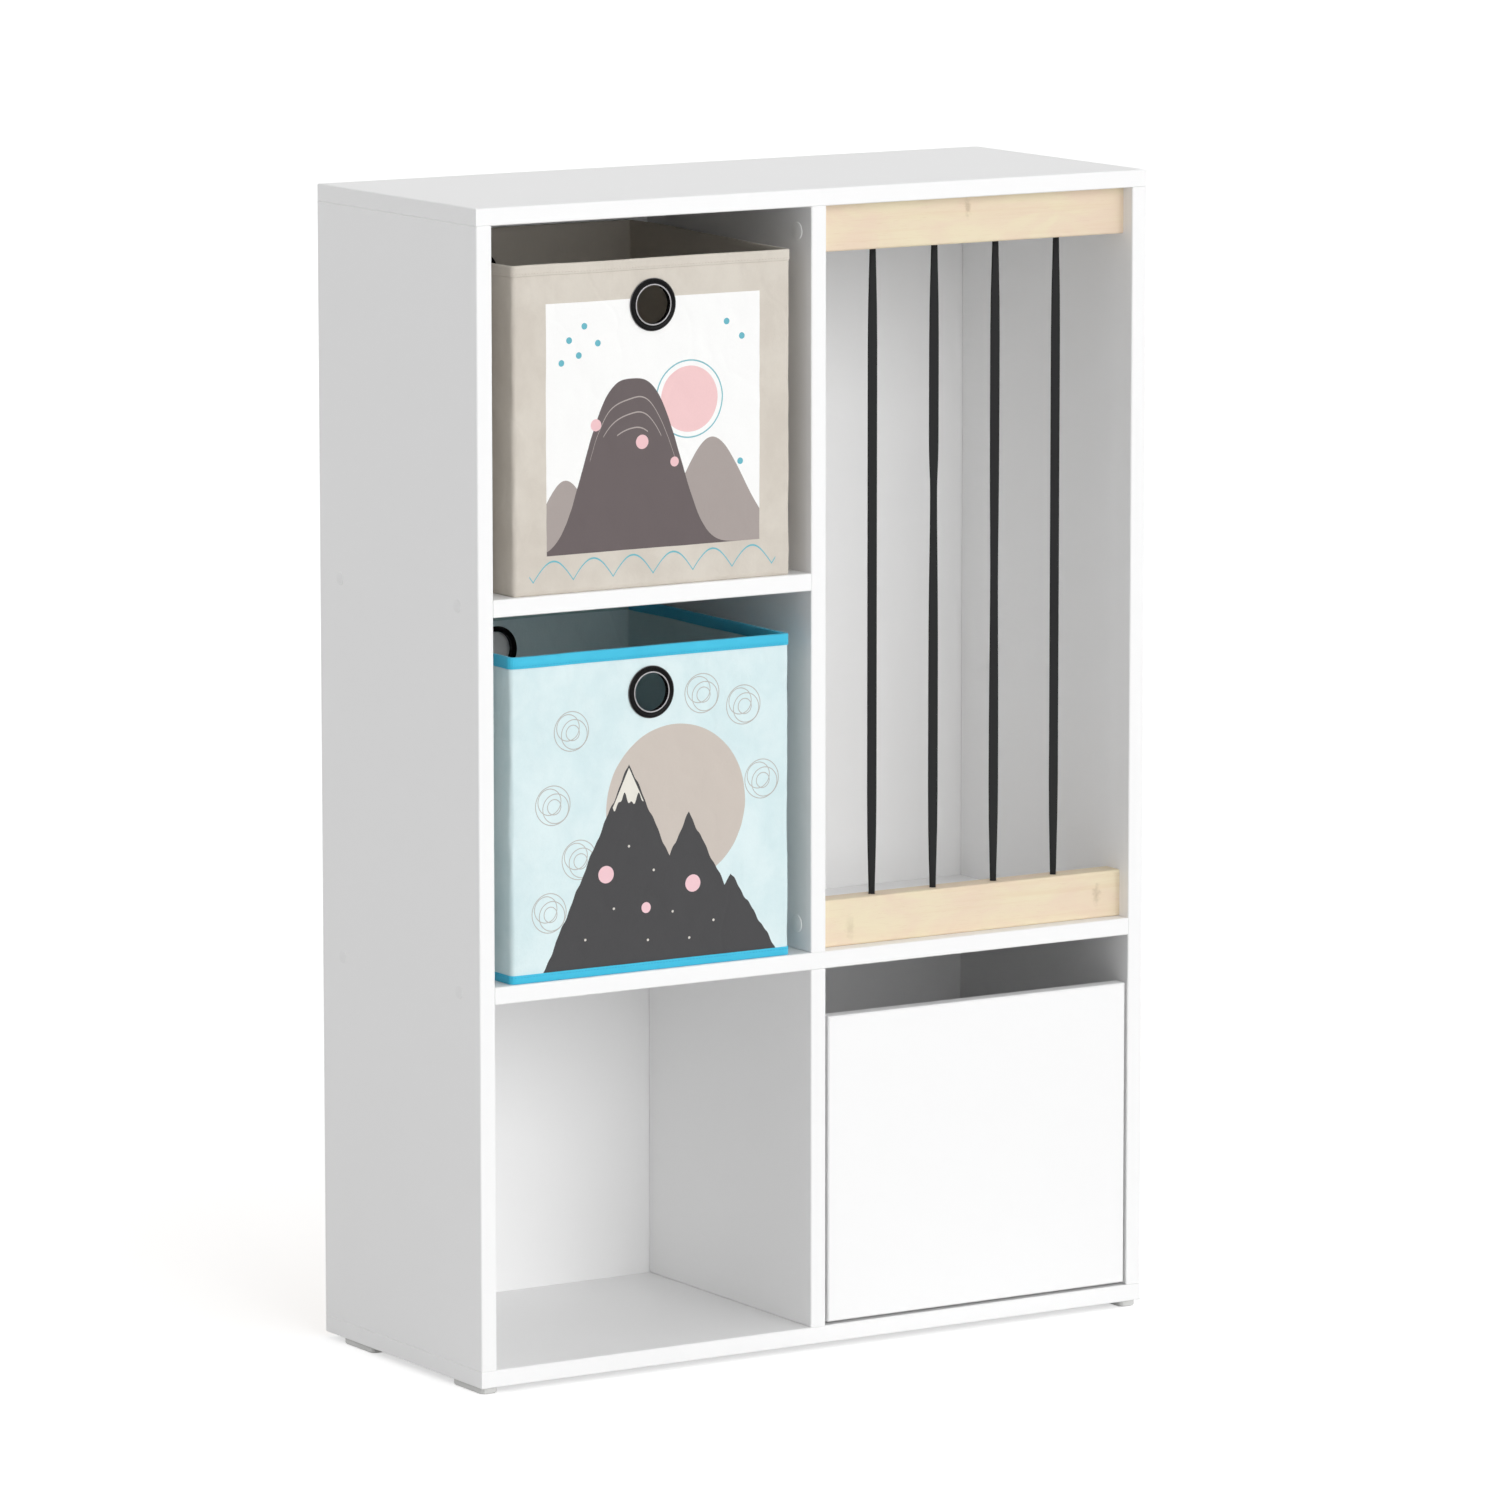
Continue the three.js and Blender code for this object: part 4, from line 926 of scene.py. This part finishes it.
# %% Print of the lower box
peaks = Print("aqua_cloth", srgb(228, 245, 247), srgb(217, 238, 241), srgb(213, 234, 237))
peaks.lay(peaks.disc(26, 150, 74), srgb(207, 197, 188))
for u, v in ((-84, 226), (-104, 160), (-76, 108), (98, 236), (118, 166), (-108, 62), (54, 250)):
    for grow_by, shift in ((18.0, 0.0), (13.5, 3.0), (12.0, -3.5), (7.0, 1.5)):
        peaks.lay(peaks.hoop(u + shift, v - shift, grow_by, 0.8), srgb(186, 186, 182))
ridge = (peaks.peak(-24, 2.05) + 0.192).most(peaks.peak(40, 1.85) + 0.142).most(
    peaks.peak(84, 1.5) + 0.082).most(peaks.peak(-74, 1.7) + 0.074)
jag = sine(peaks.u, 17) * 0.0022 + sine(peaks.u, 7.3, 1.0) * 0.0011
peaks.lay(peaks.v < ridge + jag * 0.5, srgb(62, 62, 64))
snow = (peaks.peak(-24, 0.25) + 0.160 + jag * 2.2).most(peaks.peak(40, 0.2) + 0.121 + jag * 1.8)
peaks.lay((peaks.v < ridge - 0.004) * (peaks.v > snow), srgb(236, 232, 222))
for u, v, r in ((-48, 92, 8), (44, 76, 8), (-6, 58, 5)):
    peaks.lay(peaks.disc(u, v, r), srgb(247, 205, 212))
for u, v in ((-24, 116), (2, 92), (-40, 60), (22, 52), (66, 40), (-70, 34), (-4, 28), (40, 26)):
    peaks.lay(peaks.disc(u, v, 1.2), srgb(222, 216, 208))
peaks.press()
print("aqua print", len(peaks.tree.nodes), "nodes")

# %% [markdown]
# ## Sewing the boxes together
# Both boxes are placed by their CAD solids. The beige one has its own cloth turned over as a hem and
# held by one row of stitches. The aqua one is bound with blue tape at the rim and the base, which is
# its own piece here, carried on the same slack as the wall beneath it.

# %% Tape, thread and stitches
tape = Finish("blue_tape", srgb(66, 196, 236), 0.7, Sheen_Weight=0.2)
rib = (tape.metres()[0] * 5600.0).sin() * 0.5 + 0.5
tape_drift = tape.noise(34.0, 3.0)
_, tape_facing, _ = tape.facing()
# Painted shade: the tape's inner face on the rear wall is turned a dull grey aqua, standing in for the
# shade that falls there inside the box.
rear_tape_painted_shade = (tape.y > 0.08) * (tape_facing < -0.5)
tape_tone = tape.blend(tape_drift * 0.7 + rib * 0.3, srgb(44, 184, 222), srgb(66, 204, 236))
tape.set(
    Base_Color=tape.blend(rear_tape_painted_shade, tape_tone, srgb(176, 206, 206)),
    Roughness=0.62 + rib * 0.16)
tape.bump(rib * 0.4 + tape_drift * 0.6, 0.0004)

beige_thread = moulded("beige_thread", srgb(202, 192, 182), srgb(216, 206, 196), 0.75, 3000.0, 0.00008)
blue_thread = moulded("blue_thread", srgb(46, 168, 212), srgb(70, 190, 228), 0.75, 3000.0, 0.00008)

stitch_tree = Grower("stitch_row", Pitch=0.0032, Length=0.0023, Thread=0.00032)
row = stitch_tree.wire("GeometryNodeMeshToCurve", {}, {0: stitch_tree.carrier})
row = stitch_tree.wire("GeometryNodeResampleCurve", {"mode": "LENGTH"}, {
    0: row, "Length": stitch_tree.named("Pitch")})
stitch = stitch_tree.wire("GeometryNodeMeshUVSphere", {}, {"Segments": 6, "Rings": 4, "Radius": 1.0})
along = stitch_tree.wire("GeometryNodeInputTangent")
thread = stitch_tree.named("Thread")
stitch_tree.end(row, Instance=stitch, Rotation=stitch_tree.aligned("X", along), Scale=stitch_tree.join(
    X=stitch_tree.named("Length") * 0.5, Y=thread, Z=thread))


def bound_ring(name, cloth, plan, finish, body, *nodes):
    """A closed strip round the box, from a plan of (offset, height) pairs that follow the cloth."""
    rings = [cloth.ring(offset, z) for offset, z in plan]
    rings.append(rings[0])
    points, faces, uv = loft(rings, cloth.alongs, [k * 0.002 for k in range(len(rings))])
    last = len(plan) * cloth.count
    faces = [tuple(p - last if p >= last else p for p in face) for face in faces]
    points = [p * MM + cloth.centre for p in points[:last]]
    made = shown(name, points, faces, finish.material, uv, 60)
    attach(made, body)
    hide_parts(*nodes)


def stitch_row(name, cloth, offset, z, finish, body):
    ring = [p * MM + cloth.centre for p in cloth.ring(offset, z)]
    edges = [(i, (i + 1) % len(ring)) for i in range(len(ring))]
    made = stitch_tree.grow(name, ring, edges, finish)
    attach(made, body)


print("stitch tree", len(stitch_tree.tree.nodes), "nodes")

# %% The two boxes
def base_middle(node):
    low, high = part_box(node)
    return Vector(((low.x + high.x) / 2, (low.y + high.y) / 2, low.z))


def eyelet_places(box_name, centre):
    """The middles of a box's two eyelets, in millimetres from the middle of its base, as (x, z)."""
    places = {}
    for end in ("front", "rear"):
        low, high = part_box(f"{box_name}_{end}_eyelet")
        middle = ((low + high) / 2 - centre) / MM
        places[end] = (middle.x, middle.z)
    return places


upper_centre = base_middle("upper_box_fabric")
upper_cloth = Cloth(upper_centre, 291.9, 278.4, 298.0, eyelet_places("upper_box", upper_centre), 1.0,
                    {"front": 0.9, "rear": -0.8, "left": 1.2, "right": -0.8}, 4.2)
points, faces, uv = box_shell(upper_cloth, (0.8, 10.0))
upper_box = shown("upper_box_cloth", points, faces, hills.material, uv)
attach(upper_box, "upper_box")
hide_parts("upper_box_fabric")
stitch_row("upper_box_hem_stitches", upper_cloth, 0.82, 290.2, beige_thread, "upper_box")

lower_centre = base_middle("lower_box_bottom_binding")
lower_cloth = Cloth(lower_centre, 294.3, 279.8, 296.9, eyelet_places("lower_box", lower_centre), 2.6,
                    {"front": 0.8, "rear": -0.6, "left": 1.0, "right": 1.0})
points, faces, uv = box_shell(lower_cloth, (0.0, 9.5))
lower_box = shown("lower_box_cloth", points, faces, peaks.material, uv)
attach(lower_box, "lower_box")
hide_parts("lower_box_fabric")
top = lower_cloth.height
bound_ring("lower_box_top_tape", lower_cloth, [
    (0.15, top - 9.2), (0.75, top - 9.5), (1.1, top - 9.0), (1.1, top - 5.0), (1.1, top + 0.2),
    (0.6, top + 0.9), (-1.25, top + 1.1), (-3.1, top + 0.9), (-3.6, top + 0.2), (-3.6, top - 9.0),
    (-3.2, top - 9.5), (-2.65, top - 9.2), (-2.65, top + 0.15), (0.15, top + 0.15)],
    tape, "lower_box", "lower_box_top_binding")
bound_ring("lower_box_base_tape", lower_cloth, [
    (0.15, 0.4), (0.7, 0.2), (1.1, 0.6), (1.1, 4.0), (1.1, 7.4), (0.7, 8.0), (0.15, 7.8)],
    tape, "lower_box", "lower_box_bottom_binding")
for name, z in (("lower_box_rim_stitches", top - 7.4), ("lower_box_base_stitches", 6.0)):
    stitch_row(name, lower_cloth, 1.14, z, blue_thread, "lower_box")
for made in (upper_box, lower_box):
    print(made.name, len(made.data.polygons), "faces")

# %% [markdown]
# ## Eyelets
# The finger holes are lined with big round eyelets in glossy black. The front ring has a domed flange,
# and its outer edge and inner lip carry a painted highlight: a light grey tone with a little metal,
# standing in for the gloss highlights there. Behind the wall a flatter ring clamps it. Both are one
# turned piece here, as they are once they have been pressed together.

# %% Turned eyelets
gloss = Finish("black_eyelet", srgb(12, 11, 12), 0.2, Specular_IOR_Level=0.08)
swirl = gloss.noise(90.0, 3.0)
scuff = gloss.noise((700.0, 60.0, 700.0), 3.0, 0.7)
proud, radius, _ = gloss.metres()
# Painted highlight: the outer edge and the inner lip get a light grey tone and a little metal, standing
# in for the gloss highlights on these lips.
outer_lip = (radius > 0.0236) * (proud > 0.0001) * 0.35
inner_lip = radius.between(0.0176, 0.01875) * (proud > 0.0016)
painted_highlight = outer_lip.most(inner_lip)
gloss.set(
    Base_Color=gloss.blend(
        painted_highlight * (0.6 + scuff * 0.4),
        gloss.blend(swirl, srgb(9, 8, 9), srgb(16, 15, 16)),
        srgb(186, 184, 186)),
    Roughness=0.2 + scuff * 0.14 + painted_highlight * 0.1,
    Metallic=painted_highlight * 0.3)
gloss.bump(scuff, 0.00001)


FLANGE = 2.2 * MM


def eyelet(node, body, forwards):
    """An eyelet whose flange faces -Y when forwards is -1, and +Y when it is 1."""
    low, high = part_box(node)
    centre = (low + high) / 2
    wall_y = low.y + FLANGE if forwards < 0 else high.y - FLANGE
    ring = turned(node + "_ring", [
        (17.5, 2.0), (18.3, 2.2), (19.4, 1.5), (20.0, 1.35), (20.9, 1.7), (22.6, 1.9), (23.5, 1.1),
        (24.1, 0.9), (24.1, 0.12), (19.6, 0.12), (19.6, -2.75), (22.4, -2.75), (22.4, -3.6), (21.6, -4.0),
        (17.9, -4.0), (17.5, -3.5)],
        0.5, (centre.x, wall_y, centre.z), "y", gloss.material, 96, forwards)
    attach(ring, body)
    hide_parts(node)


for box_name in ("upper_box", "lower_box"):
    eyelet(f"{box_name}_front_eyelet", box_name, -1)
    eyelet(f"{box_name}_rear_eyelet", box_name, 1)
print("eyelets made")

# %% [markdown]
# ## Studio
# The unit stands on a pale floor under soft light. A broad key comes from the front, three fills come
# from the right, from behind on the left and from overhead, and a weak world lifts the rest, so that a
# colour shows about as it is written. The inner walls that face left get little of the side fills, so
# they stay grey, as in the photo. Only the camera, gloss and glass see the world as full white.

# %% Floor, world and lamps
WORLD_FILL = 0.25
floor_mesh = bpy.data.meshes.new("studio_floor")
floor_mesh.from_pydata([(-40, -40, 0), (40, -40, 0), (40, 40, 0), (-40, 40, 0)], [], [(0, 1, 2, 3)])
floor = placed("studio_floor", floor_mesh)


def looked_at(net):
    """1 for rays from the camera, from gloss and through glass, and 0 for all other light."""
    path = net.add("ShaderNodeLightPath")
    from_camera, glossy, through = (
        Wire(net, path.outputs[f"Is {kind} Ray"]) for kind in ("Camera", "Glossy", "Transmission"))
    return from_camera.most(glossy).most(through)


ground = Finish("studio_ground", srgb(228, 228, 228), 0.9)
ground.set(
    Roughness=0.86 + ground.noise(3.0, 2.0) * 0.1, Emission_Strength=1.0,
    Emission_Color=ground.blend(looked_at(ground), (0, 0, 0), (0.52, 0.52, 0.52)))
floor_mesh.materials.append(ground.material)

world = bpy.data.worlds.new("studio_world")
bpy.context.scene.world = world
world.use_nodes = True
sky = Net(world.node_tree)
background = sky.wire("ShaderNodeBackground", {}, {
    "Color": (1, 1, 1), "Strength": looked_at(sky).ramp(0.0, 1.0, WORLD_FILL, 1.0)})
sky.add("ShaderNodeOutputWorld", {}, {"Surface": background})


def broad_key(name, towards, spread, share):
    """A distant lamp of wide spread. A surface that faces it gets share of full white from it."""
    lamp = bpy.data.lights.new(name, "SUN")
    lamp.angle = math.radians(spread)
    lamp.energy = share * math.pi
    made = placed(name, lamp)
    made.rotation_mode = "QUATERNION"
    made.rotation_quaternion = Vector(towards).to_track_quat("Z", "Y")


broad_key("front_key", (0.1, -1.0, 0.2), 50, 0.57)
broad_key("right_fill", (1.0, -0.3, 0.25), 90, 0.36)
broad_key("rear_left_fill", (-1.0, 0.6, 0.3), 90, 0.255)
broad_key("overhead_fill", (0.0, -0.15, 1.0), 120, 0.17)
bpy.context.scene.view_settings.view_transform = "Standard"
print("studio lit")
